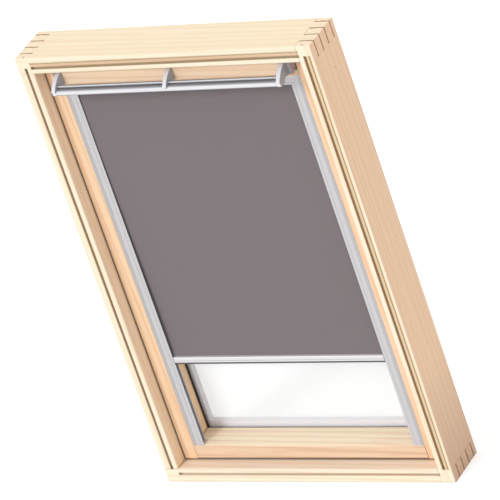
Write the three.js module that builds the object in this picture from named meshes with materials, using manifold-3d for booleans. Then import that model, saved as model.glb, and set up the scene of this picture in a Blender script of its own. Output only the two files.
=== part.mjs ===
// Centre-pivot roof window in pine with a ventilation flap, a control bar and a
// blackout roller blind in side channels.
// Millimetres. X runs across the window, Y from the room outwards, Z up the window.
// The model is drawn with the room-side face of the frame at y = 0 and the foot of the
// frame at z = 0, and the whole group is then moved back so that its depth is centred.

import * as THREE from "three";
import { mergeVertices } from "three/addons/utils/BufferGeometryUtils.js";
import Module from "manifold-3d";

const wasm = await Module();
wasm.setup();

// Frame
const windowWidth = 780;
const windowHeight = 1178;
const frameDepth = 120;
const jambWidth = 37.5;
const headHeight = 42;
const sillHeight = 37;
const arrisChamfer = 1.5;

// Corner finger joints, from the room side outwards
const firstFinger = 20;
const fingerPitch = 28;
const fingerCount = 5;
const glueLine = 0.3;

// Lining groove and cove round the room-side face
const outerLip = 10;
const liningSlotWidth = 8;
const liningSlotDepth = 8;
const coveWidth = 10.5;
const cornerBlock = 30;

// Sash
const sashGap = 2.5;
const sashSetback = 35.4;
const stileWidth = 36.5;
const sashDepth = 68.6;
const rebateWidth = 20;
const rebateDepth = 26;
const bottomRailFace = 34;
const bottomRailLift = 4;
const bottomRailChamfer = 4;
const bottomRailRise = 3;
const topRailFace = 52;
const topRailSetback = 0.6;
const tenonThickness = 14;
const tenonLength = 20;
const tenonShoulder = 6;
const fitGap = 0.3;

// Glazing unit
const gasketThickness = 2;
const gasketWidth = 9;
const paneThickness = 4;
const spacerThickness = 16;
const spacerWidth = 22;
const spacerSight = 15.5;
const glazingStripThickness = 5.4;
const glazingStripWidth = 46;
const glazingStripInset = 3;
const glazingStripLip = 6;

// Weather seals in the edge of the sash
const sealGrooveWidth = 6;
const sealGrooveDepth = 5;
const sealProud = 1;
const sealLatchGap = 5.6;
const sealEndGap = 30;

// Pivot hinges
const pivotDepth = 84;
const pivotPinRadius = 6;
const pivotPinLength = 15;
const pivotPlateThickness = 2;
const pivotPlateWidth = 28;
const pivotPlateLength = 140;
const bushWall = 3.7;
const bushLength = 13.4;

// Latch between the top rail and the head
const latchCaseLength = 90;
const latchCaseWidth = 22;
const latchCaseHeight = 30;
const latchWall = 3;
const boltLength = 30;
const boltWidth = 10;
const boltProud = 1.2;
const boltThrow = 6;
const keepThickness = 2;
const keepPocket = 6;

// Ventilation flap
const flapFront = 13;
const flapThickness = 21.5;
const flapCapWidth = 11;
const flapBottomLift = 20.5;
const flapTopGap = 3;
const flapCapDrop = 5.5;
const flapEdgeRadius = 3;
const flapPivotInset = 4.5;
const flapPinRadius = 2;
const flapPinLength = 6.5;
const hingeEarThickness = 3;
const hingePlateLength = 22;
const hingePlateHeight = 16;
const hingePlateThickness = 2;
const flapSealHeight = 4;
const flapSealDepth = 3;
const flapSealInset = 4;
const filterHeight = 16;
const filterDepth = 9;
const filterEndMargin = 44;
const filterTopMargin = 13;

// Control bar and its arms
const armThickness = 10;
const armReach = 46;
const armTopDrop = 1.5;
const armNoseDrop = 9.5;
const armEndPlate = 2;
const armStripEnd = 10;
const fingerGap = 25;
const barThickness = 17;
const barHeight = 22;
const barDrop = 10.5;
const barRimHeight = 4;
const barRimDepth = 6.5;
const barGrooveHeight = 5;
const barGrooveDepth = 4;
const barWall = 3;
const barBackSlot = 7;

// Outline of an arm, as shares of its reach and of its height
const crownShares = { reach: 0.86, height: 0.76 };
const noseShares = { reach: 0.13, height: 0.11 };
const hollowShares = { reach: 0.48, height: 0.3 };

// Blind cassette
const cassetteSetback = 1.2;
const fasciaHeight = 24.2;
const fasciaThickness = 1.8;
const channelWidth = 28.4;
const trimGrooveWidth = 1;
const trimGrooveDepth = 0.6;
const housingWall = 1.5;
const housingDepth = 28;
const housingDrop = 5;
const housingFrontGap = 0.7;
const fabricSlot = 8;
const capThickness = 2.5;

// Lengthwise trim grooves, as shares of the width of the face that carries them
const trimShares = [0.3, 0.72];

// Roller
const rollerRadius = 7;
const rollerWall = 0.8;
const windingThickness = 2;
const rollerEndGap = 2.5;
const plugFlange = 1.2;
const plugSpigot = 14;
const idlePinRadius = 2.5;
const springRodRadius = 3.2;
const springRodLength = 130;
const springWireRadius = 0.6;
const springTurns = 20;
const springPitch = 4.5;

// Side channels
const channelDepth = 13;
const channelWall = 1.5;
const channelBottomGap = 1;

// Fabric and its bottom bar
const fabricThickness = 0.6;
const fabricSetback = 6.3;
const fabricEdgeInset = 5;
const bottomBarLift = 233.6;
const bottomBarHeight = 19.5;
const bottomBarDepth = 13;
const bottomBarEndGap = 1.4;
const bottomBarLip = 4;
const bottomBarGroove = 1.6;
const guideHeight = 12;
const guideThickness = 7;
const guideSpigot = 8;

// Shape resolution and cutting overrun
const overrun = 2;
const roundSegments = 32;
const arcSegments = 10;
const wireSegments = 5;
const stepsPerTurn = 8;

// Places worked out from the sizes above
const halfWidth = windowWidth / 2;
const sashHalf = halfWidth - jambWidth - sashGap;
const openHalf = sashHalf - stileWidth;
const sashFoot = sillHeight + bottomRailLift;
const sashHead = windowHeight - headHeight - sashGap;
const sashFront = sashSetback;
const sashBack = sashFront + sashDepth;
const railFront = sashFront + topRailSetback;
const sightBottom = sashFoot + bottomRailFace;
const sightTop = sashHead - topRailFace;
const pivotHeight = windowHeight / 2;
const paneFront = sashBack + gasketThickness;
const paneBack = paneFront + paneThickness + spacerThickness + paneThickness;
const sashRear = sashBack + rebateDepth;
const latchDepth = (sashFront + sashBack) / 2;
const sealBack = latchDepth - latchCaseWidth / 2 - sealLatchGap;
const sealFront = sealBack - sealGrooveWidth;
const flapBack = flapFront + flapThickness;
const flapBottom = sightTop + flapBottomLift;
const flapTop = sashHead + sashGap - flapTopGap;
const flapPivotDepth = flapBack - flapPivotInset;
const flapPivotHeight = flapBottom - flapCapDrop + flapPivotInset;
const flapBoardHalf = openHalf - flapCapWidth;
const armBase = flapBottom - flapCapDrop;
const armFoot = armBase - armNoseDrop;
const armTop = flapTop - armTopDrop;
const armTip = flapFront - armReach;
const barBack = flapFront - fingerGap;
const barFront = barBack - barThickness;
const barFoot = flapBottom - barDrop;
const fasciaFront = sashFront + cassetteSetback;
const fasciaFoot = sightTop - fasciaHeight;
const channelTop = sightTop - fitGap;
const housingFoot = fasciaFoot - housingDrop;
const housingFront = fasciaFront + fasciaThickness + housingFrontGap;
const housingBack = housingFront + housingDepth;
const fabricDepth = fasciaFront + fabricSetback;
const rollerDepth = fabricDepth + fabricThickness + fitGap + rollerRadius + windingThickness;
const rollerHeight = (channelTop + housingFoot) / 2;
const channelFoot = sightBottom + channelBottomGap;
const bottomBarFoot = sightBottom + bottomBarLift;
const bottomBarTop = bottomBarFoot + bottomBarHeight;
const stripBack = paneBack + fitGap + glazingStripThickness;
const depthCentre = (armTip + stripBack) / 2;

// Finishes
const finishes = {
  pine: { color: 0xecc79c, roughness: 0.6, metalness: 0 },
  aluminium: { color: 0xc9c8cc, roughness: 0.4, metalness: 0.8 },
  greyPlastic: { color: 0x8f9093, roughness: 0.5, metalness: 0 },
  steel: { color: 0x9fa1a4, roughness: 0.35, metalness: 1 },
  rubber: { color: 0x2b2927, roughness: 0.85, metalness: 0 },
  spacerGrey: { color: 0xb9b4c2, roughness: 0.5, metalness: 0.3 },
  glass: { color: 0xf2f7f6, roughness: 0.05, metalness: 0, transparent: true, opacity: 0.35 },
  fabric: { color: 0x827c7d, roughness: 0.95, metalness: 0 },
  filter: { color: 0x3c3c3e, roughness: 1, metalness: 0 },
};

// Turns a closed three.js geometry into a solid that can be joined and cut
function toSolid(geometry) {
  const bare = geometry.index ? geometry.toNonIndexed() : geometry.clone();
  bare.deleteAttribute("normal");
  bare.deleteAttribute("uv");
  const merged = mergeVertices(bare);
  const vertProperties = new Float32Array(merged.attributes.position.array);
  const triVerts = new Uint32Array(merged.index.array);
  return new wasm.Manifold(new wasm.Mesh({ numProp: 3, vertProperties, triVerts }));
}

function toGeometry(solid) {
  const mesh = solid.getMesh();
  const geometry = new THREE.BufferGeometry();
  geometry.setAttribute("position", new THREE.BufferAttribute(mesh.vertProperties, mesh.numProp));
  geometry.setIndex(new THREE.BufferAttribute(mesh.triVerts, 1));
  return geometry;
}

// Box between two corners
function block(x0, x1, y0, y1, z0, z1) {
  const geometry = new THREE.BoxGeometry(x1 - x0, y1 - y0, z1 - z0);
  geometry.translate((x0 + x1) / 2, (y0 + y1) / 2, (z0 + z1) / 2);
  return toSolid(geometry);
}

// Outline drawn in Y and Z, run along X
function alongX(shape, x0, x1) {
  const geometry = new THREE.ExtrudeGeometry(shape, {
    depth: x1 - x0, bevelEnabled: false, curveSegments: arcSegments,
  });
  geometry.applyMatrix4(new THREE.Matrix4().set(0, 0, 1, x0, 1, 0, 0, 0, 0, 1, 0, 0, 0, 0, 0, 1));
  return toSolid(geometry);
}

// Outline drawn in X and Z, run along Y
function alongY(shape, y0, y1) {
  const geometry = new THREE.ExtrudeGeometry(shape, {
    depth: y1 - y0, bevelEnabled: false, curveSegments: arcSegments,
  });
  geometry.applyMatrix4(new THREE.Matrix4().set(1, 0, 0, 0, 0, 0, -1, y1, 0, 1, 0, 0, 0, 0, 0, 1));
  return toSolid(geometry);
}

// Outline drawn in X and Y, run along Z
function alongZ(shape, z0, z1) {
  const geometry = new THREE.ExtrudeGeometry(shape, {
    depth: z1 - z0, bevelEnabled: false, curveSegments: arcSegments,
  });
  geometry.translate(0, 0, z0);
  return toSolid(geometry);
}

function outline(points) {
  return new THREE.Shape(points.map(([a, b]) => new THREE.Vector2(a, b)));
}

// Round bar with its axis along X
function rod(radius, x0, x1, y, z) {
  const geometry = new THREE.CylinderGeometry(radius, radius, x1 - x0, roundSegments);
  geometry.rotateZ(Math.PI / 2);
  geometry.translate((x0 + x1) / 2, y, z);
  return toSolid(geometry);
}

// Ring with its axis along X, turned from its section
function ring(inner, outer, x0, x1, y, z) {
  const section = [[inner, x0], [outer, x0], [outer, x1], [inner, x1], [inner, x0]];
  const points = section.map(([r, x]) => new THREE.Vector2(r, x));
  const geometry = new THREE.LatheGeometry(points, roundSegments);
  geometry.rotateZ(-Math.PI / 2);
  geometry.translate(0, y, z);
  return toSolid(geometry);
}

function mirrorX(solid) {
  return solid.mirror([1, 0, 0]);
}

const model = new THREE.Group();
model.name = "roof_window_with_blind";

function piece(name, solid, finish) {
  const mesh = new THREE.Mesh(toGeometry(solid), new THREE.MeshStandardMaterial(finishes[finish]));
  mesh.name = name;
  model.add(mesh);
}

// A left-hand solid and its mirror image on the right
function pair(name, leftSolid, finish) {
  piece(`${name}_left`, leftSolid, finish);
  piece(`${name}_right`, mirrorX(leftSolid), finish);
}

// Depths at which one finger ends and the next begins
function fingerBounds() {
  const bounds = [0];
  for (let i = 0; i < fingerCount - 1; i += 1) {
    bounds.push(firstFinger + i * fingerPitch);
  }
  bounds.push(frameDepth);
  return bounds;
}

// Slots that the fingers of the crossing member fill: its parity says which layers
function fingerSlots(x0, x1, z0, z1, parity) {
  const bounds = fingerBounds();
  let slots = null;
  for (let i = parity; i < fingerCount; i += 2) {
    const near = i === 0 ? -overrun : bounds[i] - glueLine / 2;
    const far = i === fingerCount - 1 ? frameDepth + overrun : bounds[i + 1] + glueLine / 2;
    const slot = block(x0, x1, near, far, z0, z1);
    slots = slots ? slots.add(slot) : slot;
  }
  return slots;
}

// Section of the lining slot and cove: distance in from the outer edge, then depth
function grooveShape(place) {
  const slotEnd = outerLip + liningSlotWidth;
  const points = [[outerLip, -overrun], [outerLip, liningSlotDepth], [slotEnd, liningSlotDepth]];
  for (let i = 1; i <= arcSegments; i += 1) {
    const turn = (Math.PI / 2) * (1 - i / arcSegments);
    points.push([slotEnd + coveWidth * Math.cos(turn), liningSlotDepth * Math.sin(turn)]);
  }
  points.push([slotEnd + coveWidth, -overrun]);
  return outline(points.map(([t, y]) => place(t, y)));
}

function grooves() {
  const endX = halfWidth - cornerBlock;
  const endZ = windowHeight - cornerBlock;
  const left = alongZ(grooveShape((t, y) => [-halfWidth + t, y]), cornerBlock, endZ);
  const foot = alongX(grooveShape((t, y) => [y, t]), -endX, endX);
  const top = alongX(grooveShape((t, y) => [y, windowHeight - t]), -endX, endX);
  return left.add(mirrorX(left)).add(foot).add(top);
}

function pivotPlateShape(clearance) {
  const radius = pivotPlateWidth / 2 + clearance;
  const reach = (pivotPlateLength - pivotPlateWidth) / 2;
  const shape = new THREE.Shape();
  shape.absarc(pivotDepth, pivotHeight + reach, radius, 0, Math.PI, false);
  shape.absarc(pivotDepth, pivotHeight - reach, radius, Math.PI, 2 * Math.PI, false);
  shape.closePath();
  return shape;
}

function pivotPlate(clearance) {
  const inner = -halfWidth + jambWidth;
  return alongX(pivotPlateShape(clearance), inner - pivotPlateThickness - clearance, inner);
}

// Upright of the frame: fingers on layers 1 and 3 at the left, 0, 2 and 4 at the right
function jamb(side) {
  const outer = side * halfWidth;
  const inner = side * (halfWidth - jambWidth);
  const low = Math.min(outer, inner);
  const high = Math.max(outer, inner);
  const headParity = side < 0 ? 0 : 1;
  let solid = block(low, high, 0, frameDepth, 0, windowHeight);
  const top = windowHeight - headHeight - glueLine;
  solid = solid.subtract(
    fingerSlots(low - overrun, high + overrun, top, windowHeight + overrun, headParity),
  );
  solid = solid.subtract(
    fingerSlots(low - overrun, high + overrun, -overrun, sillHeight + glueLine, headParity),
  );
  solid = solid.subtract(grooves());
  const recess = pivotPlate(glueLine).add(block(
    -halfWidth + jambWidth - pivotPlateThickness - glueLine, -halfWidth + jambWidth + overrun,
    pivotDepth - pivotPinRadius, pivotDepth + pivotPinRadius,
    pivotHeight - pivotPinRadius, pivotHeight + pivotPinRadius,
  ));
  return solid.subtract(side < 0 ? recess : mirrorX(recess));
}

// Head or sill of the frame
function crossMember(z0, z1) {
  let solid = block(-halfWidth, halfWidth, 0, frameDepth, z0, z1);
  const shoulder = halfWidth - jambWidth - glueLine;
  solid = solid.subtract(
    fingerSlots(-halfWidth - overrun, -shoulder, z0 - overrun, z1 + overrun, 1),
  );
  solid = solid.subtract(
    fingerSlots(shoulder, halfWidth + overrun, z0 - overrun, z1 + overrun, 0),
  );
  return solid.subtract(grooves());
}

function keepPlate(clearance) {
  const half = latchCaseLength / 2 + clearance;
  const reach = latchCaseWidth / 2 + clearance;
  const foot = windowHeight - headHeight;
  return block(-half, half, latchDepth - reach, latchDepth + reach, foot, foot + keepThickness + clearance);
}

function boltSlot(z0, z1) {
  const half = boltLength / 2 + overrun;
  const reach = boltWidth / 2 + overrun;
  return block(-half, half, latchDepth - reach, latchDepth + reach, z0, z1);
}

function buildFrame() {
  const headFoot = windowHeight - headHeight;
  const pocketTop = headFoot + keepThickness + keepPocket;
  let head = crossMember(headFoot, windowHeight);
  head = head.subtract(keepPlate(fitGap)).subtract(boltSlot(headFoot - overrun, pocketTop));
  piece("frame_head", head, "pine");
  piece("frame_sill", crossMember(0, sillHeight), "pine");
  piece("frame_jamb_left", jamb(-1), "pine");
  piece("frame_jamb_right", jamb(1), "pine");
  const keep = keepPlate(0).subtract(boltSlot(headFoot - overrun, pocketTop));
  piece("latch_keep", keep, "steel");
  const plateFace = -halfWidth + jambWidth;
  const pin = rod(pivotPinRadius, plateFace - fitGap, plateFace + pivotPinLength, pivotDepth, pivotHeight);
  pair("pivot_plate", pivotPlate(0).add(pin), "steel");
}

// Sash upright: room face, glazing rebate, bore for the pivot bush and two mortises
function stile() {
  const outer = -sashHalf;
  const inner = -openHalf;
  const lip = outer + rebateWidth;
  const shape = outline([
    [outer, sashFront], [inner - arrisChamfer, sashFront], [inner, sashFront + arrisChamfer],
    [inner, sashBack], [lip, sashBack], [lip, sashRear], [outer, sashRear],
  ]);
  const bushRadius = pivotPinRadius + fitGap + bushWall + fitGap;
  const boreEnd = outer + sashGap + bushLength;
  let solid = alongZ(shape, sashFoot, sashHead);
  solid = solid.subtract(rod(bushRadius, outer - overrun, boreEnd, pivotDepth, pivotHeight));
  solid = solid.subtract(tenon(sashFoot, sightBottom, fitGap));
  solid = solid.subtract(tenon(sightTop, sashHead, fitGap));
  return solid.subtract(sealGroove("left"));
}

// Left-hand tenon of a rail whose face runs from z0 to z1
function tenon(z0, z1, clearance) {
  const middle = (sashFront + sashBack) / 2;
  const reach = tenonThickness / 2 + clearance;
  return block(
    -openHalf - tenonLength - clearance, -openHalf + overrun, middle - reach, middle + reach,
    z0 + tenonShoulder - clearance, z1 - tenonShoulder + clearance,
  );
}

function railBody(shape, z0, z1) {
  const end = openHalf - fitGap;
  const left = tenon(z0, z1, 0);
  return alongX(shape, -end, end).add(left).add(mirrorX(left));
}

function bottomRail() {
  const lip = sashFoot + rebateWidth;
  const top = sightBottom + bottomRailChamfer;
  const shape = outline([
    [sashFront, sashFoot], [sashRear, sashFoot], [sashRear, lip], [sashBack, lip],
    [sashBack, top + bottomRailRise], [sashFront + bottomRailChamfer, top], [sashFront, sightBottom],
  ]);
  return railBody(shape, sashFoot, sightBottom).subtract(sealGroove("bottom"));
}

function latchPocket(clearance) {
  const half = latchCaseLength / 2 + clearance;
  const reach = latchCaseWidth / 2 + clearance;
  return block(
    -half, half, latchDepth - reach, latchDepth + reach,
    sashHead - latchCaseHeight - clearance, sashHead + (clearance > 0 ? overrun : 0),
  );
}

function filterBlock(clearance) {
  const half = flapBoardHalf - filterEndMargin + clearance;
  const top = sashHead - filterTopMargin + clearance;
  const foot = sashHead - filterTopMargin - filterHeight - clearance;
  const front = clearance > 0 ? railFront - overrun : railFront + fitGap;
  return block(-half, half, front, railFront + filterDepth + clearance, foot, top);
}

function flapSeal(clearance) {
  const half = flapBoardHalf - flapEdgeRadius + clearance;
  const top = flapTop - flapSealInset + clearance;
  const foot = top - flapSealHeight - 2 * clearance;
  return block(-half, half, flapBack + fitGap - clearance, railFront + flapSealDepth + clearance, foot, top);
}

function topRail() {
  const lip = sashHead - rebateWidth;
  const shape = outline([
    [railFront, sightTop], [sashBack, sightTop], [sashBack, lip], [sashRear, lip],
    [sashRear, sashHead], [railFront, sashHead],
  ]);
  let solid = railBody(shape, sightTop, sashHead).subtract(sealGroove("top"));
  solid = solid.subtract(latchPocket(fitGap)).subtract(filterBlock(fitGap));
  solid = solid.subtract(flapSeal(fitGap)).subtract(hingePlate(fitGap)).subtract(mirrorX(hingePlate(fitGap)));
  return solid;
}

// Seal strip on one edge of the sash; the groove that takes it is the same with clearance
function sealBlock(edge, clearance) {
  const near = sealFront - clearance;
  const far = sealBack + clearance;
  const sink = sealGrooveDepth + clearance;
  const out = clearance > 0 ? overrun : sealProud;
  if (edge === "left") {
    return block(
      -sashHalf - out, -sashHalf + sink, near, far,
      sashFoot + sealEndGap - clearance, sashHead - sealEndGap + clearance,
    );
  }
  const end = openHalf - fitGap + clearance;
  if (edge === "bottom") {
    return block(-end, end, near, far, sashFoot - out, sashFoot + sink);
  }
  return block(-end, end, near, far, sashHead - sink, sashHead + out);
}

function sealGroove(edge) {
  return sealBlock(edge, fitGap);
}

function buildSash() {
  pair("sash_stile", stile(), "pine");
  piece("sash_bottom_rail", bottomRail(), "pine");
  piece("sash_top_rail", topRail(), "pine");
  pair("weather_seal", sealBlock("left", 0), "rubber");
  piece("weather_seal_bottom", sealBlock("bottom", 0), "rubber");
  piece("weather_seal_top", sealBlock("top", 0), "rubber");
  const bushInner = pivotPinRadius + fitGap;
  const bush = ring(
    bushInner, bushInner + bushWall, -sashHalf + fitGap, -sashHalf + bushLength, pivotDepth, pivotHeight,
  );
  pair("pivot_bush", bush, "greyPlastic");
  piece("vent_filter", filterBlock(0), "filter");
  piece("flap_seal", flapSeal(0), "rubber");
}

// Glazing unit in the rebate, with its gaskets inside and its strips outside
function buildGlazing() {
  const edgeX = sashHalf - rebateWidth - fitGap;
  const edgeFoot = sashFoot + rebateWidth + fitGap;
  const edgeHead = sashHead - rebateWidth - fitGap;
  const innerBack = paneFront + paneThickness;
  const outerFront = innerBack + spacerThickness;
  piece("inner_pane", block(-edgeX, edgeX, paneFront, innerBack, edgeFoot, edgeHead), "glass");
  piece("outer_pane", block(-edgeX, edgeX, outerFront, paneBack, edgeFoot, edgeHead), "glass");

  const spacerX = openHalf - spacerSight;
  const spacerFoot = sightBottom + bottomRailChamfer + bottomRailRise + spacerSight;
  const spacerHead = sightTop - spacerSight;
  const spacerEnd = spacerX + spacerWidth;
  const side = block(
    -spacerEnd, -spacerX, innerBack, outerFront, spacerFoot - spacerWidth, spacerHead + spacerWidth,
  );
  pair("spacer", side, "spacerGrey");
  piece(
    "spacer_bottom",
    block(-spacerX, spacerX, innerBack, outerFront, spacerFoot - spacerWidth, spacerFoot), "spacerGrey",
  );
  piece(
    "spacer_top",
    block(-spacerX, spacerX, innerBack, outerFront, spacerHead, spacerHead + spacerWidth), "spacerGrey",
  );

  const gasketSide = block(
    -openHalf - gasketWidth, -openHalf, sashBack, paneFront, edgeFoot, edgeHead,
  );
  pair("glazing_gasket", gasketSide, "rubber");
  const railTop = sightBottom + bottomRailChamfer + bottomRailRise;
  piece(
    "glazing_gasket_bottom",
    block(-openHalf, openHalf, sashBack, paneFront, railTop - gasketWidth, railTop), "rubber",
  );
  piece(
    "glazing_gasket_top",
    block(-openHalf, openHalf, sashBack, paneFront, sightTop, sightTop + gasketWidth), "rubber",
  );
  buildGlazingStrips();
}

// Outer glazing strips: a flat bar with a lip turned in over the glass
function buildGlazingStrips() {
  const front = paneBack + fitGap;
  const outer = -sashHalf + glazingStripInset;
  const inner = outer + glazingStripWidth;
  const bevel = glazingStripLip;
  const foot = sashFoot + glazingStripInset;
  const head = sashHead - glazingStripInset;
  const section = (near, far, place) => outline(
    [[near, front], [far, front], [far - bevel, stripBack], [near, stripBack]].map(place),
  );
  const side = alongZ(section(outer, inner, ([x, y]) => [x, y]), foot, head);
  pair("glazing_strip", side, "aluminium");
  const end = -inner - fitGap;
  const low = alongX(section(foot, foot + glazingStripWidth, ([z, y]) => [y, z]), -end, end);
  const high = alongX(
    section(0, glazingStripWidth, ([z, y]) => [y, head - z]), -end, end,
  );
  piece("glazing_strip_bottom", low, "aluminium");
  piece("glazing_strip_top", high, "aluminium");
}

function buildLatch() {
  const boltTop = sashHead + boltProud;
  const boltFoot = sashHead - latchCaseHeight + latchWall + fitGap;
  const half = boltLength / 2;
  const reach = boltWidth / 2;
  const hollow = block(
    -half - fitGap, half + fitGap, latchDepth - reach - fitGap, latchDepth + reach + fitGap,
    boltFoot - fitGap, sashHead + overrun,
  );
  piece("latch_case", latchPocket(0).subtract(hollow), "steel");
  const bevel = boltThrow;
  const shape = outline([
    [latchDepth - reach, boltFoot], [latchDepth + reach, boltFoot],
    [latchDepth + reach, boltTop], [latchDepth - reach + bevel, boltTop],
    [latchDepth - reach, boltTop - bevel],
  ]);
  piece("latch_bolt", alongX(shape, -half, half), "steel");
}

// Hinge plate of the flap, let into the face of the top rail
function hingePlate(clearance) {
  const foot = flapPivotHeight - hingePlateHeight / 2 - clearance;
  const front = clearance > 0 ? railFront - overrun : railFront;
  return block(
    -openHalf + fitGap - clearance, -openHalf + fitGap + hingePlateLength + clearance,
    front, railFront + hingePlateThickness + clearance, foot, foot + hingePlateHeight + 2 * clearance,
  );
}

function buildFlapHinges() {
  const outer = -openHalf + fitGap;
  const ear = new THREE.Shape();
  ear.absarc(flapPivotDepth, flapPivotHeight, flapPivotInset, Math.PI / 2, 1.5 * Math.PI, false);
  ear.lineTo(railFront + fitGap, flapPivotHeight - flapPivotInset);
  ear.lineTo(railFront + fitGap, flapPivotHeight + flapPivotInset);
  ear.closePath();
  const earSolid = alongX(ear, outer, outer + hingeEarThickness);
  const pin = rod(
    flapPinRadius, outer, outer + hingeEarThickness + flapPinLength, flapPivotDepth, flapPivotHeight,
  );
  pair("flap_hinge", hingePlate(0).add(earSolid).add(pin), "steel");
}

function buildFlap() {
  const r = flapEdgeRadius;
  const board = new THREE.Shape();
  board.moveTo(flapBack, flapBottom);
  board.lineTo(flapBack, flapTop);
  board.lineTo(flapFront + r, flapTop);
  board.absarc(flapFront + r, flapTop - r, r, Math.PI / 2, Math.PI, false);
  board.absarc(flapFront + r, flapBottom + r, r, Math.PI, 1.5 * Math.PI, false);
  board.closePath();
  piece("vent_flap_board", alongX(board, -flapBoardHalf, flapBoardHalf), "pine");

  const foot = flapBottom - flapCapDrop;
  const cap = new THREE.Shape();
  cap.moveTo(flapFront + r, foot);
  cap.lineTo(flapPivotDepth, foot);
  cap.absarc(flapPivotDepth, flapPivotHeight, flapPivotInset, -Math.PI / 2, 0, false);
  cap.lineTo(flapBack, flapTop);
  cap.lineTo(flapFront + r, flapTop);
  cap.absarc(flapFront + r, flapTop - r, r, Math.PI / 2, Math.PI, false);
  cap.absarc(flapFront + r, foot + r, r, Math.PI, 1.5 * Math.PI, false);
  const outer = -openHalf + fitGap;
  const pocketEnd = outer + hingeEarThickness + fitGap;
  const pocketTop = flapPivotHeight + flapPivotInset + fitGap;
  const pocket = block(
    outer - overrun, pocketEnd, flapPivotDepth - flapPivotInset - fitGap, flapBack + overrun,
    foot - overrun, pocketTop,
  );
  const bore = rod(
    flapPinRadius + fitGap, outer, outer + hingeEarThickness + flapPinLength + fitGap,
    flapPivotDepth, flapPivotHeight,
  );
  const capSolid = alongX(cap, outer, -flapBoardHalf - fitGap).subtract(pocket).subtract(bore);
  pair("flap_cap", capSolid, "greyPlastic");
}

// Section of the control bar: rim, groove and rounded grip, open behind for the fingers
function barSection(clearance) {
  const front = barFront - clearance;
  const back = barBack + clearance;
  const foot = barFoot - clearance;
  const top = barFoot + barHeight + clearance;
  const rimFoot = top - barRimHeight - 2 * clearance;
  const faceTop = rimFoot - barGrooveHeight + 2 * clearance;
  const rimFront = barBack - barRimDepth - clearance;
  const noseHeight = (foot + faceTop) / 2;
  const shape = new THREE.Shape();
  shape.moveTo(back, top);
  shape.lineTo(rimFront, top);
  shape.lineTo(rimFront, rimFoot);
  shape.lineTo(rimFront + barRimDepth - barGrooveDepth + clearance, rimFoot);
  shape.lineTo(rimFront + barRimDepth - barGrooveDepth + clearance, faceTop);
  shape.lineTo(rimFront - barWall, faceTop);
  shape.quadraticCurveTo(front, faceTop, front, noseHeight);
  shape.quadraticCurveTo(front, foot, rimFront, foot);
  shape.lineTo(back, foot);
  shape.closePath();
  return shape;
}

function controlBar() {
  const end = flapBoardHalf - armEndPlate - fitGap;
  const bar = alongX(barSection(0), -end, end);
  const slotFoot = barFoot + barWall;
  const slot = block(
    -end - overrun, end + overrun, barFront + 2 * barWall, barBack + overrun,
    slotFoot, slotFoot + barBackSlot,
  );
  return bar.subtract(slot);
}

// Side outline of an arm: crown from the flap to the nose, then a hollow underside
function armShape() {
  const root = flapFront - fitGap;
  const height = armTop - armFoot;
  const shape = new THREE.Shape();
  shape.moveTo(root, armTop);
  shape.quadraticCurveTo(
    flapFront - armReach * crownShares.reach, armFoot + height * crownShares.height,
    armTip, armFoot + height * noseShares.height,
  );
  shape.quadraticCurveTo(armTip, armFoot, armTip + armReach * noseShares.reach, armFoot);
  shape.quadraticCurveTo(
    flapFront - armReach * hollowShares.reach, armFoot + height * hollowShares.height,
    root, armBase,
  );
  shape.closePath();
  return shape;
}

// Room that the bar takes in an arm, with the arm's front strip ended on the bar's face
function barRoom(x0, x1) {
  const room = alongX(barSection(fitGap), x0, x1);
  const low = barFoot + barHeight - barRimHeight - armStripEnd;
  const chin = block(x0, x1, armTip - overrun, barBack + fitGap, armFoot - overrun, low);
  return room.add(chin);
}

function buildControlBar() {
  piece("control_bar", controlBar(), "aluminium");
  const outer = -flapBoardHalf;
  const inner = outer + armThickness;
  const endArm = alongX(armShape(), outer, inner).subtract(barRoom(outer + armEndPlate, inner + overrun));
  pair("bar_arm", endArm, "greyPlastic");
  const half = armThickness / 2;
  const middleArm = alongX(armShape(), -half, half).subtract(barRoom(-half - overrun, half + overrun));
  piece("bar_arm_middle", middleArm, "greyPlastic");
}

// Wedge that mitres the fascia against the left-hand side channel
function mitreWedge(offset) {
  const slope = fasciaHeight / channelWidth;
  const start = -openHalf - overrun;
  const end = -openHalf + channelWidth + overrun;
  const line = (x) => sightTop - (x + openHalf) * slope + offset;
  const top = line(start) + overrun;
  return outline([[start, line(start)], [end, line(end)], [end, top], [start, top]]);
}

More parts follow.
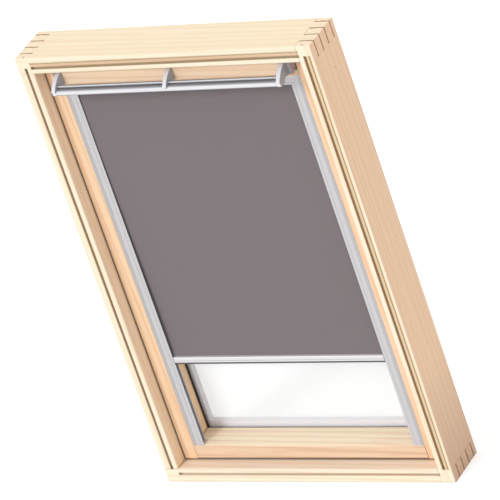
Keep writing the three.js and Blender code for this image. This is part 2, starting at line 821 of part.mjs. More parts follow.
function buildCassette() {
  const top = channelTop;
  let fascia = block(
    -openHalf + fitGap, openHalf - fitGap, fasciaFront, fasciaFront + fasciaThickness, fasciaFoot, top,
  );
  for (const share of trimShares) {
    const z = top - fasciaHeight * share;
    fascia = fascia.subtract(block(
      -openHalf, openHalf, fasciaFront - overrun, fasciaFront + trimGrooveDepth,
      z - trimGrooveWidth / 2, z + trimGrooveWidth / 2,
    ));
  }
  const hook = block(
    -openHalf + channelWidth, openHalf - channelWidth,
    fasciaFront + fasciaThickness - fitGap, housingFront + fabricSlot, top - housingWall, top,
  );
  const keepLeft = alongY(mitreWedge(fitGap / 2), fasciaFront - overrun, fasciaFront + fasciaThickness);
  const channelSide = block(
    -openHalf - overrun, -openHalf + channelWidth + overrun,
    fasciaFront - overrun, fasciaFront + fasciaThickness + fitGap, fasciaFoot - overrun, sightTop + overrun,
  ).subtract(keepLeft);
  fascia = fascia.add(hook).subtract(channelSide).subtract(mirrorX(channelSide));
  piece("cassette_fascia", fascia, "aluminium");

  const capInner = openHalf - fitGap - capThickness - fitGap;
  const roof = top - housingWall - fitGap;
  const foot = housingFoot;
  const shellFront = housingFront + fabricSlot;
  const shell = outline([
    [shellFront, foot], [housingBack, foot], [housingBack, roof], [housingFront, roof],
    [housingFront, roof - housingWall], [housingBack - housingWall, roof - housingWall],
    [housingBack - housingWall, foot + housingWall], [shellFront, foot + housingWall],
  ]);
  piece("cassette_housing", alongX(shell, -capInner, capInner), "aluminium");

  const capOuter = -openHalf + fitGap;
  const cap = block(capOuter, capOuter + capThickness, housingFront, housingBack, foot, roof);
  const square = springRodRadius / Math.SQRT2;
  const squareHole = block(
    capOuter - overrun, capOuter + capThickness + overrun,
    rollerDepth - square - fitGap, rollerDepth + square + fitGap,
    rollerHeight - square - fitGap, rollerHeight + square + fitGap,
  );
  piece("cassette_cap_left", cap.subtract(squareHole), "greyPlastic");
  const pinHole = rod(
    idlePinRadius + fitGap, capOuter - overrun, capOuter + capThickness + overrun, rollerDepth, rollerHeight,
  );
  piece("cassette_cap_right", mirrorX(cap.subtract(pinHole)), "greyPlastic");
}

class Helix extends THREE.Curve {
  constructor(start, radius) {
    super();
    this.start = start;
    this.radius = radius;
  }

  getPoint(t, target = new THREE.Vector3()) {
    const turn = 2 * Math.PI * springTurns * t;
    return target.set(
      this.start + springTurns * springPitch * t,
      rollerDepth + this.radius * Math.cos(turn), rollerHeight + this.radius * Math.sin(turn),
    );
  }
}

function buildRoller() {
  const tubeHalf = openHalf - fitGap - capThickness - rollerEndGap;
  const tubeInner = rollerRadius - rollerWall;
  const tube = ring(tubeInner, rollerRadius, -tubeHalf, tubeHalf, rollerDepth, rollerHeight);
  piece("roller_tube", tube, "aluminium");
  const windingHalf = openHalf - fabricEdgeInset - fitGap;
  const winding = ring(
    rollerRadius + fitGap / 2, rollerRadius + windingThickness, -windingHalf, windingHalf,
    rollerDepth, rollerHeight,
  );
  piece("fabric_winding", winding, "fabric");

  const flangeStart = tubeHalf + fitGap;
  const flange = rod(rollerRadius, flangeStart, flangeStart + plugFlange, rollerDepth, rollerHeight);
  const spigot = rod(
    tubeInner - fitGap, tubeHalf - plugSpigot, tubeHalf + 2 * fitGap, rollerDepth, rollerHeight,
  );
  const pin = rod(idlePinRadius, tubeHalf, openHalf - fitGap, rollerDepth, rollerHeight);
  piece("idle_plug", flange.add(spigot).add(pin), "greyPlastic");

  const bearing = ring(
    springRodRadius + fitGap, tubeInner - fitGap, -tubeHalf, -tubeHalf + plugSpigot,
    rollerDepth, rollerHeight,
  );
  piece("spring_plug", bearing, "greyPlastic");
  const square = springRodRadius / Math.SQRT2;
  const rodStart = -openHalf + fitGap;
  const shank = block(
    rodStart, rodStart + capThickness + fitGap, rollerDepth - square, rollerDepth + square,
    rollerHeight - square, rollerHeight + square,
  );
  const core = rod(
    springRodRadius, rodStart + capThickness + fitGap / 2, rodStart + springRodLength,
    rollerDepth, rollerHeight,
  );
  piece("spring_rod", shank.add(core), "steel");

  const start = -tubeHalf + plugSpigot + springWireRadius + fitGap;
  const radius = springRodRadius + fitGap + springWireRadius;
  const wire = new THREE.Shape();
  wire.absarc(0, 0, springWireRadius, 0, 2 * Math.PI, false);
  const spring = new THREE.ExtrudeGeometry(wire, {
    steps: springTurns * stepsPerTurn, extrudePath: new Helix(start, radius), bevelEnabled: false,
    curveSegments: wireSegments,
  });
  piece("roller_spring", toSolid(spring), "steel");
}

// Side channel: C section open towards the fabric, with its face carried up to the mitre
function sideChannel() {
  const outer = -openHalf + fitGap;
  const inner = -openHalf + channelWidth;
  const front = fasciaFront;
  const back = front + channelDepth;
  const section = outline([
    [outer, front], [inner, front], [inner, front + channelWall], [outer + channelWall, front + channelWall],
    [outer + channelWall, back - channelWall], [inner, back - channelWall], [inner, back], [outer, back],
  ]);
  const foot = channelFoot;
  const body = alongZ(section, foot, housingFoot - fitGap);
  const face = block(outer, inner, front, front + channelWall, housingFoot - 2 * fitGap, channelTop);
  let solid = body.add(face);
  for (const share of trimShares) {
    const x = outer + channelWidth * share;
    solid = solid.subtract(block(
      x - trimGrooveWidth / 2, x + trimGrooveWidth / 2,
      front - overrun, front + trimGrooveDepth, foot - overrun, channelTop + overrun,
    ));
  }
  const wedge = alongY(mitreWedge(-fitGap / 2), front - overrun, front + channelWall + overrun);
  return solid.subtract(wedge).subtract(bottomRailCorner());
}

// Space of the bottom rail's chamfered top edge, kept clear by what stands over it
function bottomRailCorner() {
  const top = sightBottom + bottomRailChamfer;
  const front = sashFront;
  const back = front + bottomRailChamfer + channelDepth;
  const shape = outline([
    [front - overrun, sightBottom - overrun], [back, sightBottom - overrun], [back, top + bottomRailRise],
    [front + bottomRailChamfer, top + fitGap], [front, sightBottom + fitGap], [front - overrun, sightBottom],
  ]);
  return alongX(shape, -openHalf - overrun, -openHalf + channelWidth + overrun);
}

// Bottom bar: face with a groove and a lower lip, slotted on top for the fabric
function buildBottomBar() {
  const end = openHalf - channelWidth - bottomBarEndGap;
  const front = fasciaFront;
  const back = front + bottomBarDepth;
  const foot = bottomBarFoot;
  const top = bottomBarTop;
  const r = bottomBarGroove;
  const grooveTop = foot + bottomBarLip + bottomBarGroove;
  const shape = new THREE.Shape();
  shape.moveTo(back, foot);
  shape.lineTo(back, top - r);
  shape.lineTo(back - r, top);
  shape.lineTo(front + 2 * r, top);
  shape.quadraticCurveTo(front, top, front, top - 2 * r);
  shape.lineTo(front, grooveTop);
  shape.lineTo(front + r, grooveTop);
  shape.lineTo(front + r, foot + bottomBarLip);
  shape.lineTo(front, foot + bottomBarLip);
  shape.lineTo(front, foot + r);
  shape.lineTo(front + r, foot);
  shape.closePath();
  const middle = fabricDepth + fabricThickness / 2;
  const guideFoot = foot + (bottomBarHeight - guideHeight) / 2;
  const socket = block(
    -end - overrun, -end + guideSpigot + fitGap, middle - guideThickness / 2 - fitGap,
    middle + guideThickness / 2 + fitGap, guideFoot - fitGap, guideFoot + guideHeight + fitGap,
  );
  const bar = alongX(shape, -end, end).subtract(socket).subtract(mirrorX(socket));
  piece("bottom_bar", bar, "aluminium");
  const guide = block(
    -openHalf + fabricEdgeInset, -end + guideSpigot, middle - guideThickness / 2,
    middle + guideThickness / 2, guideFoot, guideFoot + guideHeight,
  );
  pair("bottom_bar_guide", guide, "greyPlastic");
}

function buildFabric() {
  const half = openHalf - fabricEdgeInset;
  const sheet = block(
    -half, half, fabricDepth, fabricDepth + fabricThickness, bottomBarTop + fitGap, rollerHeight,
  );
  piece("blind_fabric", sheet, "fabric");
}

buildFrame();
buildSash();
buildGlazing();
buildLatch();
buildFlapHinges();
buildFlap();
buildControlBar();
buildCassette();
buildRoller();
pair("side_channel", sideChannel(), "aluminium");
buildBottomBar();
buildFabric();

model.position.set(0, -depthCentre, 0);

export default model;
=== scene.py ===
"""Dresses the roof window and its roller blind: materials, shaped wood and arms, cloth, light, camera."""

import math

import bmesh
import bpy
from mathutils import Matrix, Vector


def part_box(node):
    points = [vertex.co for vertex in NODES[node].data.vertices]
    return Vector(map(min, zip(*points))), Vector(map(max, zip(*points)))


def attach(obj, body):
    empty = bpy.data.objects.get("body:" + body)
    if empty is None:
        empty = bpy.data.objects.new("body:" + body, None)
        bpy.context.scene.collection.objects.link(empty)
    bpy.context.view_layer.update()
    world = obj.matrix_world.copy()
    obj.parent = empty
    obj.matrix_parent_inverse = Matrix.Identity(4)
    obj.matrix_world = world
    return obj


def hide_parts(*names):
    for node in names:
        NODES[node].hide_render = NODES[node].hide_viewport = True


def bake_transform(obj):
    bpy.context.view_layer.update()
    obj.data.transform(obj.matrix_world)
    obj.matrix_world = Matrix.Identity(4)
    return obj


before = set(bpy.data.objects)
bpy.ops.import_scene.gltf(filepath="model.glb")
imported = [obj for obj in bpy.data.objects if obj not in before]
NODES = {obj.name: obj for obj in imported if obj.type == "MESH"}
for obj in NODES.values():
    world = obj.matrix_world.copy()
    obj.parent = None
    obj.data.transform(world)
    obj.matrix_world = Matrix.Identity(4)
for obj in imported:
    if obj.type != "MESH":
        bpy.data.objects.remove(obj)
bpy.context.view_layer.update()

MM = 0.001

# Camera, solved from the edges of the frame in the photograph
CAMERA_AIM = Vector((0.0074, 0.0149, 0.6043))
CAMERA_DISTANCE = 12.131
CAMERA_AZIMUTH = 35.346
CAMERA_ELEVATION = 27.239
CAMERA_ROLL = -19.284
CAMERA_LENS = 378.91
CAMERA_SENSOR = 36
CAMERA_SIGHT = 100

# Light: strength of the world, direction towards the key light, its strength and softness
WORLD_LIGHT = 0.79
KEY_TOWARDS = Vector((-0.26, -0.78, 0.57))
KEY_STRENGTH = 1.06
KEY_SOFTNESS = math.radians(16)

# Floor: its size, how far it lies below the part, its colour, and the glow that keeps it white to the eye
FLOOR_SIZE = 60
FLOOR_DROP = 0.5 * MM
FLOOR_COLOUR = (0.8, 0.8, 0.8, 1)
FLOOR_GLOW = 0.44

# Rounding of edges, the angles at which an edge is rounded or stays a crease, and a hair's breadth
WOOD_ROUND = 0.9 * MM
METAL_ROUND = 0.5 * MM
ROUND_FROM = math.radians(40)
CREASE_FROM = math.radians(30)
HAIR = 0.12 * MM

# Outer planes of the frame's solids, and its room face, which the boards bring forward a little
FACE_PROUD = 3 * MM
jamb_low, jamb_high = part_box("frame_jamb_right")
INNER = jamb_low.x
OUTER = jamb_high.x
FRONT = jamb_low.y - FACE_PROUD
BACK = jamb_high.y
TOP = jamb_high.z
HEAD_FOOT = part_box("frame_head")[0].z
SILL_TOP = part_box("frame_sill")[1].z

# Lining groove, the quirk outside it and the corner blocks where both end
JAMB_LIP = 13 * MM
CROSS_LIP = 11.5 * MM
GROOVE_WIDTH = 7.3 * MM
GROOVE_DEPTH = 8 * MM
QUIRK_GAP = 6.5 * MM
QUIRK_WIDTH = 5 * MM
QUIRK_DEPTH = 3 * MM
CORNER_BLOCK = 35 * MM
HEAD_BLOCK = 27 * MM
OPENING_EDGE = 2 * MM

# Corner finger joints, from the room side outwards, and the line down the outer faces that carries a
# painted highlight
FIRST_FINGER = 23 * MM
FINGER_PITCH = 28 * MM
FINGER_COUNT = 5
GLUE_LINE = 0.3 * MM
TRIM_LINE = 46 * MM
TRIM_HALF = 1.8 * MM

# Recesses: clearance, overrun of a cut, half depth and height of the latch pocket, steps round a plate
RECESS_GAP = 0.3 * MM
OVERRUN = 2 * MM
LATCH_POCKET = 6 * MM
PLATE_STEPS = 32
PLATE_NUDGE = 0.001


def srgb(red, green, blue):
    """A colour given as it looks on screen, 0 to 255, as linear values."""
    linear = []
    for value in (red, green, blue):
        share = value / 255
        linear.append(share / 12.92 if share <= 0.04045 else ((share + 0.055) / 1.055) ** 2.4)
    return (*linear, 1)


BLACK = (0, 0, 0, 1)
WHITE = (1, 1, 1, 1)


class Nodes:
    """Short calls to add and join the nodes of a material or a world."""

    def __init__(self, owner):
        owner.use_nodes = True
        self.owner = owner
        self.tree = owner.node_tree
        self.shader = self.tree.nodes.get("Principled BSDF")
        self.output = self.tree.get_output_node("ALL")

    def feed(self, socket, source):
        """Feeds an input with an output or with a plain value."""
        if isinstance(source, bpy.types.NodeSocket):
            self.tree.links.new(source, socket)
        else:
            socket.default_value = source

    def add(self, kind, inputs=None, **settings):
        """A new node, with its settings made and its inputs fed."""
        node = self.tree.nodes.new(kind)
        for key, value in settings.items():
            setattr(node, key, value)
        for key, value in (inputs or {}).items():
            self.feed(node.inputs[key], value)
        return node

    def set(self, **inputs):
        """Feeds inputs of the material's shader, where _ stands for a blank."""
        for key, value in inputs.items():
            self.feed(self.shader.inputs[key.replace("_", " ")], value)

    def end(self, shader):
        """Makes a shader the last one of the tree."""
        self.feed(self.output.inputs["Surface"], shader.outputs[0])

    def place(self, scale=(1, 1, 1), offset=(0, 0, 0)):
        """Object coordinates, which are the row frame in metres, scaled and moved."""
        source = self.add("ShaderNodeTexCoord").outputs["Object"]
        mapping = self.add("ShaderNodeMapping", {"Vector": source, "Location": offset, "Scale": scale})
        return mapping.outputs["Vector"]

    def axes(self, source="Object"):
        """The X, Y and Z of the place in the row frame, or of the resting piece's normal."""
        vector = self.add("ShaderNodeTexCoord").outputs[source]
        return self.add("ShaderNodeSeparateXYZ", {0: vector}).outputs

    def noise(self, scale, detail=2.0, roughness=0.5, vector=None):
        """Noise over a vector, or else over the plain place."""
        node = self.add("ShaderNodeTexNoise", {
            "Vector": self.place() if vector is None else vector,
            "Scale": scale, "Detail": detail, "Roughness": roughness,
        })
        return node.outputs["Fac"]

    def ramp(self, value, stops):
        """Colours that follow a value, by their places."""
        node = self.add("ShaderNodeValToRGB", {"Fac": value})
        while len(node.color_ramp.elements) < len(stops):
            node.color_ramp.elements.new(0.5)
        for element, (position, colour) in zip(node.color_ramp.elements, stops):
            element.position = position
            element.color = colour
        return node.outputs["Color"]

    def rising(self, value, start, end):
        """A mask that is 0 up to the start and 1 from the end on."""
        return self.ramp(value, [(start, BLACK), (end, WHITE)])

    def falling(self, value, start, end):
        """A mask that is 1 up to the start and 0 from the end on."""
        return self.ramp(value, [(start, WHITE), (end, BLACK)])

    def calc(self, operation, first, second=0.0, clamp=False):
        """One sum on one or two values."""
        node = self.add("ShaderNodeMath", {0: first, 1: second}, operation=operation, use_clamp=clamp)
        return node.outputs["Value"]

    def product(self, first, *others):
        """The product of several values."""
        for value in others:
            first = self.calc("MULTIPLY", first, value)
        return first

    def varied(self, base, value, reach):
        """A base to which a value adds up to the reach."""
        return self.calc("ADD", self.calc("MULTIPLY", value, reach), base)

    def near(self, value, middle, reach):
        """1 within reach of the middle and 0 beyond it."""
        away = self.calc("ABSOLUTE", self.calc("SUBTRACT", value, middle))
        return self.calc("LESS_THAN", away, reach)

    def mix(self, share, first, second, blend="MIX"):
        """The first colour, with a share of the second in it."""
        inputs = {0: share, 6: first, 7: second}
        return self.add("ShaderNodeMix", inputs, data_type="RGBA", blend_type=blend).outputs[2]

    def tint(self, colour, tone, share=1.0):
        """A colour that a tone darkens or lightens, in whole or by a share."""
        return self.mix(share, colour, tone, "MULTIPLY")

    def bump(self, height, strength, distance):
        """Fine relief of the material's shader."""
        node = self.add("ShaderNodeBump", {
            "Height": height, "Strength": strength, "Distance": distance,
        })
        self.set(Normal=node.outputs["Normal"])

    def seen(self):
        """1 for the rays that show the background: from the camera, off gloss and through glass."""
        path = self.add("ShaderNodeLightPath").outputs
        direct = self.calc("ADD", path["Is Camera Ray"], path["Is Glossy Ray"], clamp=True)
        return self.calc("ADD", direct, path["Is Transmission Ray"], clamp=True)


# Grain: how far it is drawn out along a board, its shift from board to board, rings, bands and fibres
GRAIN_STRETCH = 0.03
GRAIN_AXES = {"X": (GRAIN_STRETCH, 1, 1), "Z": (1, 1, GRAIN_STRETCH)}
GRAIN_SHIFT = (0.37, 0.71, 0.53)
RINGS = {"Scale": 30.0, "Distortion": 7.0, "Detail": 3.0, "Detail Scale": 0.8, "Detail Roughness": 0.5}
BAND_SCALE = 70.0
FIBRE_SCALE = 380.0
FIBRE_SHARE = 0.32
FIBRE_RELIEF = 0.6
LATE_RELIEF = -0.3
# Painted shade in crevices, found by ambient occlusion: its reach, samples and share
CREVICE_REACH = 8 * MM
CREVICE_SAMPLES = 6
CREVICE_SHADE_SHARE = 0.62

# Pine as it looks on screen: pale wood, darker bands and late wood
# The frame's palette is as pale as its lit faces look, its sides shaded by tints, and the flap's is
# lightened against the shade it stands in: painted light.
FRAME_PINE = (srgb(253, 244, 219), srgb(252, 239, 211), srgb(241, 214, 176))
SASH_PINE = (srgb(252, 221, 186), srgb(249, 212, 175), srgb(230, 182, 136))
FLAP_PINE = (srgb(253, 229, 200), srgb(250, 221, 191), srgb(234, 192, 154))
RAIL_PINE = (srgb(243, 214, 183), srgb(236, 202, 170), srgb(206, 156, 116))
# Colour of the painted shade in crevices
PINE_CREVICE_SHADE = srgb(132, 118, 96)

# Painted light and shade of the sides of a piece against its face: towards X, then towards Z
SIDES_HEAD = ((1, 0.76, 0.66, 1), (1.02, 0.945, 0.9, 1))
SIDES_LEFT = ((1, 0.87, 0.82, 1), (1.02, 0.945, 0.9, 1))
SIDES_SILL = ((1, 0.76, 0.66, 1), (0.945, 0.86, 0.9, 1))
SIDES_RAIL = (WHITE, (1.16, 1.33, 1.42, 1))
SIDES_REBATE = ((1.2, 1.15, 1.05, 1), WHITE)
SIDES_EVEN = (WHITE, WHITE)
SIDES_ARM = ((0.46, 0.47, 0.5, 1), (0.7, 0.7, 0.72, 1))
SIDES_CAP = ((1.3, 1.3, 1.45, 1), WHITE)
SIDES_BAR = ((0.6, 0.6, 0.62, 1), (0.38, 0.38, 0.39, 1))

# Knots: colour, share, and scale and strength of the wobble of their outline
KNOT_BROWN = srgb(176, 128, 84)
KNOT_SHARE = 0.75
KNOT_SCALE = 300.0
KNOT_WOBBLE = 0.5

# Joint lines: colour, share, and least width and spread in parts of a finger
JOINT_BROWN = srgb(164, 116, 78)
JOINT_SHARE = 0.85
JOINT_SCALE = 160.0
JOINT_LEAST = 0.02
JOINT_SPREAD = 0.12

# Painted highlight of the trim line and darker foot of the outer sides, and the skin that counts as the
# face of a board
TRIM_HIGHLIGHT = srgb(255, 218, 184)
TRIM_HIGHLIGHT_SHARE = 0.9
FOOT_SHARE = 0.26
FOOT_TINT = (0.7, 0.68, 0.68, 1)
FACE_SKIN = 1 * MM

# Painted shade on the strips between groove and quirk and on the ground of the grooves, with the margins
# round the grooves
HEAD_LAND_SHADE = (0.8, 0.62, 0.53, 1)
JAMB_LAND_SHADE = (0.82, 0.74, 0.6, 1)
GROOVE_GROUND_SHADE = srgb(182, 152, 118)
GROOVE_SHARE = 0.45
GROOVE_MARGIN = 0.3 * MM
GROOVE_UNDER = 0.5 * MM
OUTER_MARGIN = 2 * MM

# Painted shade along the gap round the sash: where it starts at the side and ends at the foot, and its
# depth
GAP_SHADE = srgb(104, 68, 42)
GAP_SHARE = 0.8
GAP_EDGE = 348.2 * MM
GAP_FOOT = 43.2 * MM
GAP_DEPTH = 7 * MM
GAP_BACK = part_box("sash_stile_left")[0].y + GAP_DEPTH


def knotted(m, colour, place, radius):
    """Darkens a small round knot, drawn out a little, about one point of the row frame."""
    source = m.add("ShaderNodeTexCoord").outputs["Object"]
    away = m.add("ShaderNodeVectorMath", {0: source, 1: place}, operation="DISTANCE").outputs["Value"]
    wobble = m.product(m.noise(KNOT_SCALE, vector=source), KNOT_WOBBLE)
    share = m.calc("ADD", m.calc("DIVIDE", away, radius), wobble)
    spot = m.falling(share, start=0.45, end=0.95)
    return m.mix(m.product(spot, KNOT_SHARE), colour, KNOT_BROWN)


def facing_shaded(m, colour, sides):
    """Paints light and shade on the sides of a piece apart from its face, by the normal of the resting
    piece.
    """
    normal = m.axes("Normal")
    for axis, tone in zip("XZ", sides):
        colour = m.tint(colour, tone, m.product(normal[axis], normal[axis]))
    return colour


def jointed(m, colour, place, side):
    """Draws the dark lines between the corner fingers, where two boards cross."""
    layer = m.calc("DIVIDE", m.calc("SUBTRACT", place["Y"], FRONT + FIRST_FINGER), FINGER_PITCH)
    away = m.calc("ABSOLUTE", m.calc("SUBTRACT", layer, m.calc("ROUND", layer)))
    line = m.calc("LESS_THAN", away, m.varied(JOINT_LEAST, m.noise(JOINT_SCALE), JOINT_SPREAD))
    above = m.calc("GREATER_THAN", place["Z"], HEAD_FOOT)
    below = m.calc("LESS_THAN", place["Z"], SILL_TOP)
    outside = m.calc("GREATER_THAN", side, INNER)
    corner = m.product(m.calc("ADD", above, below), outside)
    return m.mix(m.product(line, corner, JOINT_SHARE), colour, JOINT_BROWN)


def trim_highlighted(m, colour, place, side):
    """Paints a highlight along the trim line down the outer side of a jamb, where a shallow step would
    catch the light, and darkens the foot of that side.
    """
    outer = m.calc("GREATER_THAN", side, OUTER - FACE_SKIN)
    line = m.near(place["Y"], FRONT + TRIM_LINE, TRIM_HALF)
    colour = m.mix(m.product(line, outer, TRIM_HIGHLIGHT_SHARE), colour, TRIM_HIGHLIGHT)
    height = m.calc("DIVIDE", place["Z"], TOP * FOOT_SHARE)
    lowness = m.calc("SUBTRACT", 1.0, height, clamp=True)
    return m.tint(colour, FOOT_TINT, m.product(lowness, outer))


def land_shaded(m, colour, place):
    """Paints shade on the strip of face between groove and quirk, on the head and the right jamb."""
    half = QUIRK_GAP / 2
    face = m.calc("LESS_THAN", place["Y"], FRONT + FACE_SKIN)
    for across, lip, along, start, end, tone in (
        ("Z", HEAD_FOOT + CROSS_LIP, "X", CORNER_BLOCK - OUTER, OUTER - CORNER_BLOCK, HEAD_LAND_SHADE),
        ("X", INNER + JAMB_LIP, "Z", CORNER_BLOCK, TOP - HEAD_BLOCK, JAMB_LAND_SHADE),
    ):
        strip = m.near(place[across], lip + GROOVE_WIDTH + half, half)
        after = m.calc("GREATER_THAN", place[along], start)
        before = m.calc("LESS_THAN", place[along], end)
        colour = m.tint(colour, tone, m.product(strip, after, before, face))
    return colour


def groove_shaded(m, colour, place, side):
    """Paints shade on the ground and the flanks of the lining grooves."""
    half = GROOVE_WIDTH / 2
    in_jamb = m.near(side, INNER + JAMB_LIP + half, half + GROOVE_MARGIN)
    in_head = m.near(place["Z"], HEAD_FOOT + CROSS_LIP + half, half + GROOVE_MARGIN)
    deep = m.calc("GREATER_THAN", place["Y"], FRONT + FACE_SKIN)
    shallow = m.calc("LESS_THAN", place["Y"], FRONT + GROOVE_DEPTH + GROOVE_UNDER)
    inward = m.calc("LESS_THAN", side, OUTER - OUTER_MARGIN)
    in_groove = m.product(m.calc("MAXIMUM", in_jamb, in_head), deep, shallow, inward)
    return m.mix(m.product(in_groove, GROOVE_SHARE), colour, GROOVE_GROUND_SHADE)


def board_marks(m, colour):
    """The joint lines, painted highlight, darker foot and painted shade that a frame board shows on top of
    its grain.
    """
    place = m.axes()
    side = m.calc("ABSOLUTE", place["X"])
    colour = jointed(m, colour, place, side)
    colour = trim_highlighted(m, colour, place, side)
    colour = land_shaded(m, colour, place)
    return groove_shaded(m, colour, place, side)


def gap_shaded(m, colour, place, edge):
    """Paints shade on an edge of the sash over the depth at which it goes into the gap beside the frame.
    """
    front = m.calc("LESS_THAN", place["Y"], GAP_BACK)
    return m.mix(m.product(edge, front, GAP_SHARE), colour, GAP_SHADE)


def stile_edge(m, colour):
    """Painted shade on the outer edge of a sash upright."""
    place = m.axes()
    edge = m.calc("GREATER_THAN", m.calc("ABSOLUTE", place["X"]), GAP_EDGE)
    return gap_shaded(m, colour, place, edge)


def rail_foot(m, colour):
    """Painted shade on the foot of the sash's bottom rail, along the gap above the sill."""
    place = m.axes()
    return gap_shaded(m, colour, place, m.calc("LESS_THAN", place["Z"], GAP_FOOT))


def pine(name, axis, seed, palette, sides, figure=0.35, knots=(), extra=None):
    """Lacquered pine: straight fibres, growth rings drawn out along the grain, and painted shade in its
    crevices.
    """
    m = Nodes(bpy.data.materials.new(name))
    pale, middle, late_wood = palette
    grain = m.place(GRAIN_AXES[axis], [seed * shift for shift in GRAIN_SHIFT])
    rings = m.add("ShaderNodeTexWave", {"Vector": grain, **RINGS}, bands_direction="DIAGONAL")
    bands = m.noise(BAND_SCALE, detail=3.0, roughness=0.55, vector=grain)
    fibres = m.noise(FIBRE_SCALE, detail=3.0, roughness=0.6, vector=grain)
    late = m.rising(rings.outputs["Fac"], start=0.55, end=0.97)
    colour = m.mix(m.rising(bands, start=0.35, end=0.7), pale, middle)
    colour = m.mix(m.product(late, figure), colour, late_wood)
    lines = m.falling(fibres, start=0.3, end=0.46)
    colour = m.mix(m.product(lines, FIBRE_SHARE), colour, late_wood)
    # Painted light and shade on the sides, by the way they face
    colour = facing_shaded(m, colour, sides)
    for place, radius in knots:
        colour = knotted(m, colour, place, radius)
    if extra:
        colour = extra(m, colour)
    # Painted shade in the crevices, darkest where ambient occlusion finds them closed in
    crevice = m.add("ShaderNodeAmbientOcclusion", {"Distance": CREVICE_REACH}, samples=CREVICE_SAMPLES)
    shade = m.falling(crevice.outputs["AO"], start=0.25, end=0.75)
    colour = m.tint(colour, PINE_CREVICE_SHADE, m.product(shade, CREVICE_SHADE_SHARE))
    m.set(Base_Color=colour, Coat_Weight=0.1, Coat_Roughness=0.35, Specular_IOR_Level=0.35)
    m.set(Roughness=m.varied(base=0.45, value=fibres, reach=0.2))
    relief = m.calc("ADD", m.product(fibres, FIBRE_RELIEF), m.product(late, LATE_RELIEF))
    m.bump(relief, strength=0.2, distance=0.3 * MM)
    return m.owner


# Metal and plastic as they look on screen
LIGHT_METAL = (208, 207, 210)
BOTTOM_METAL = (230, 228, 230)
BAR_METAL = (232, 232, 235)
PLASTIC_GREY = (164, 164, 167)
CAP_PLASTIC = (160, 155, 163)
# The arms' near-white is partly their pale plastic and partly a painted highlight on fronts that face the
# light
ARM_PLASTIC = (240, 240, 244)
CLOTH_GREY = (127, 118, 121)

# Side channels: where the deeper outer lip starts, half width of the bead before it, and their painted
# shade and highlight
LIP_START = 305 * MM
BEAD_HALF = 0.9 * MM
LIP_SHADE = (0.76, 0.79, 0.82, 1)
LIP_SHARE = 0.8
BEAD_HIGHLIGHT = srgb(232, 231, 234)
BEAD_SHARE = 0.6

# Bottom bar of the blind: height of its seam and of the grey band along it, from its foot
BAR_SEAM = 10 * MM
SEAM_HALF = 0.7 * MM
SEAM_SHARE = 0.5
FOOT_BAND_HEIGHT = 4.2 * MM
BAR_LINE_GREY = srgb(96, 94, 98)

# Drawing lines of the extrusions, the two tones that follow a noise, the glass and the weave
DRAWN_AXES = {"X": (0.01, 1, 1), "Z": (1, 1, 0.01)}
DRAWN_SCALE = 900.0
TONE_START = 0.3
TONE_END = 0.7
METAL_STEP = 6
PLASTIC_STEP = 5
GLASS_IOR = 1.45
GLASS_SHEEN = 0.3
GLASS_LEAST = 0.003
GLASS_HAZE = 0.04
WEAVE_PITCH = 0.55 * MM
WEAVE_STEP = 3
WEAVE_CONTRAST = 0.4
SLUB_AXES = (1, 1, 0.05)


def shifted(colour, step):
    """A screen colour, lighter or darker by a step."""
    return [channel + step for channel in colour]


def toned(m, value, dark, light):
    """Two screen colours that follow a noise."""
    return m.ramp(value, [(TONE_START, srgb(*dark)), (TONE_END, srgb(*light))])


def lipped(m, colour):
    """Paints shade on the outer lip of a side channel, which lies a little deeper, and a highlight on the
    bead beside it.
    """
    side = m.calc("ABSOLUTE", m.axes()["X"])
    outer = m.calc("GREATER_THAN", side, LIP_START)
    colour = m.tint(colour, LIP_SHADE, m.product(outer, LIP_SHARE))
    bead = m.near(side, LIP_START - BEAD_HALF, BEAD_HALF)
    return m.mix(m.product(bead, BEAD_SHARE), colour, BEAD_HIGHLIGHT)


def banded_foot(m, colour):
    """Draws the seam of the blind's bottom bar and a grey band along its foot."""
    height = m.axes()["Z"]
    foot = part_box("bottom_bar")[0].z
    seam = m.near(height, foot + BAR_SEAM, SEAM_HALF)
    colour = m.mix(m.product(seam, SEAM_SHARE), colour, BAR_LINE_GREY)
    return m.mix(m.calc("LESS_THAN", height, foot + FOOT_BAND_HEIGHT), colour, BAR_LINE_GREY)


def anodised(name, colour, axis, sides=None, extra=None):
    """Satin anodised aluminium with faint drawing lines along the extrusion."""
    m = Nodes(bpy.data.materials.new(name))
    lines = m.noise(DRAWN_SCALE, vector=m.place(DRAWN_AXES[axis]))
    tone = toned(m, lines, shifted(colour, -METAL_STEP), colour)
    # Painted light and shade on the sides, by the way they face
    if sides:
        tone = facing_shaded(m, tone, sides)
    if extra:
        tone = extra(m, tone)
    cloud = m.noise(scale=9.0)
    m.set(Base_Color=tone, Metallic=0.4, Roughness=m.varied(base=0.4, value=cloud, reach=0.1))
    m.bump(lines, strength=0.08, distance=0.1 * MM)
    return m.owner


def plastic(name, colour, roughness, sides=None):
    """Moulded plastic with a fine spark-eroded texture."""
    m = Nodes(bpy.data.materials.new(name))
    grain = m.noise(scale=1400.0)
    cloud = m.noise(scale=30.0)
    tone = toned(m, cloud, shifted(colour, -PLASTIC_STEP), colour)
    # Painted light and shade on the sides, by the way they face
    if sides:
        tone = facing_shaded(m, tone, sides)
    m.set(Base_Color=tone, Roughness=m.varied(base=roughness, value=grain, reach=0.12))
    m.bump(grain, strength=0.2, distance=0.08 * MM)
    return m.owner


def steel(name):
    """Zinc-plated steel, a little cloudy."""
    m = Nodes(bpy.data.materials.new(name))
    cloud = m.noise(scale=60.0, detail=3.0)
    tone = toned(m, cloud, (165, 167, 170), (196, 198, 200))
    m.set(Base_Color=tone, Metallic=1.0, Roughness=m.varied(base=0.25, value=cloud, reach=0.2))
    m.bump(cloud, strength=0.05, distance=0.1 * MM)
    return m.owner


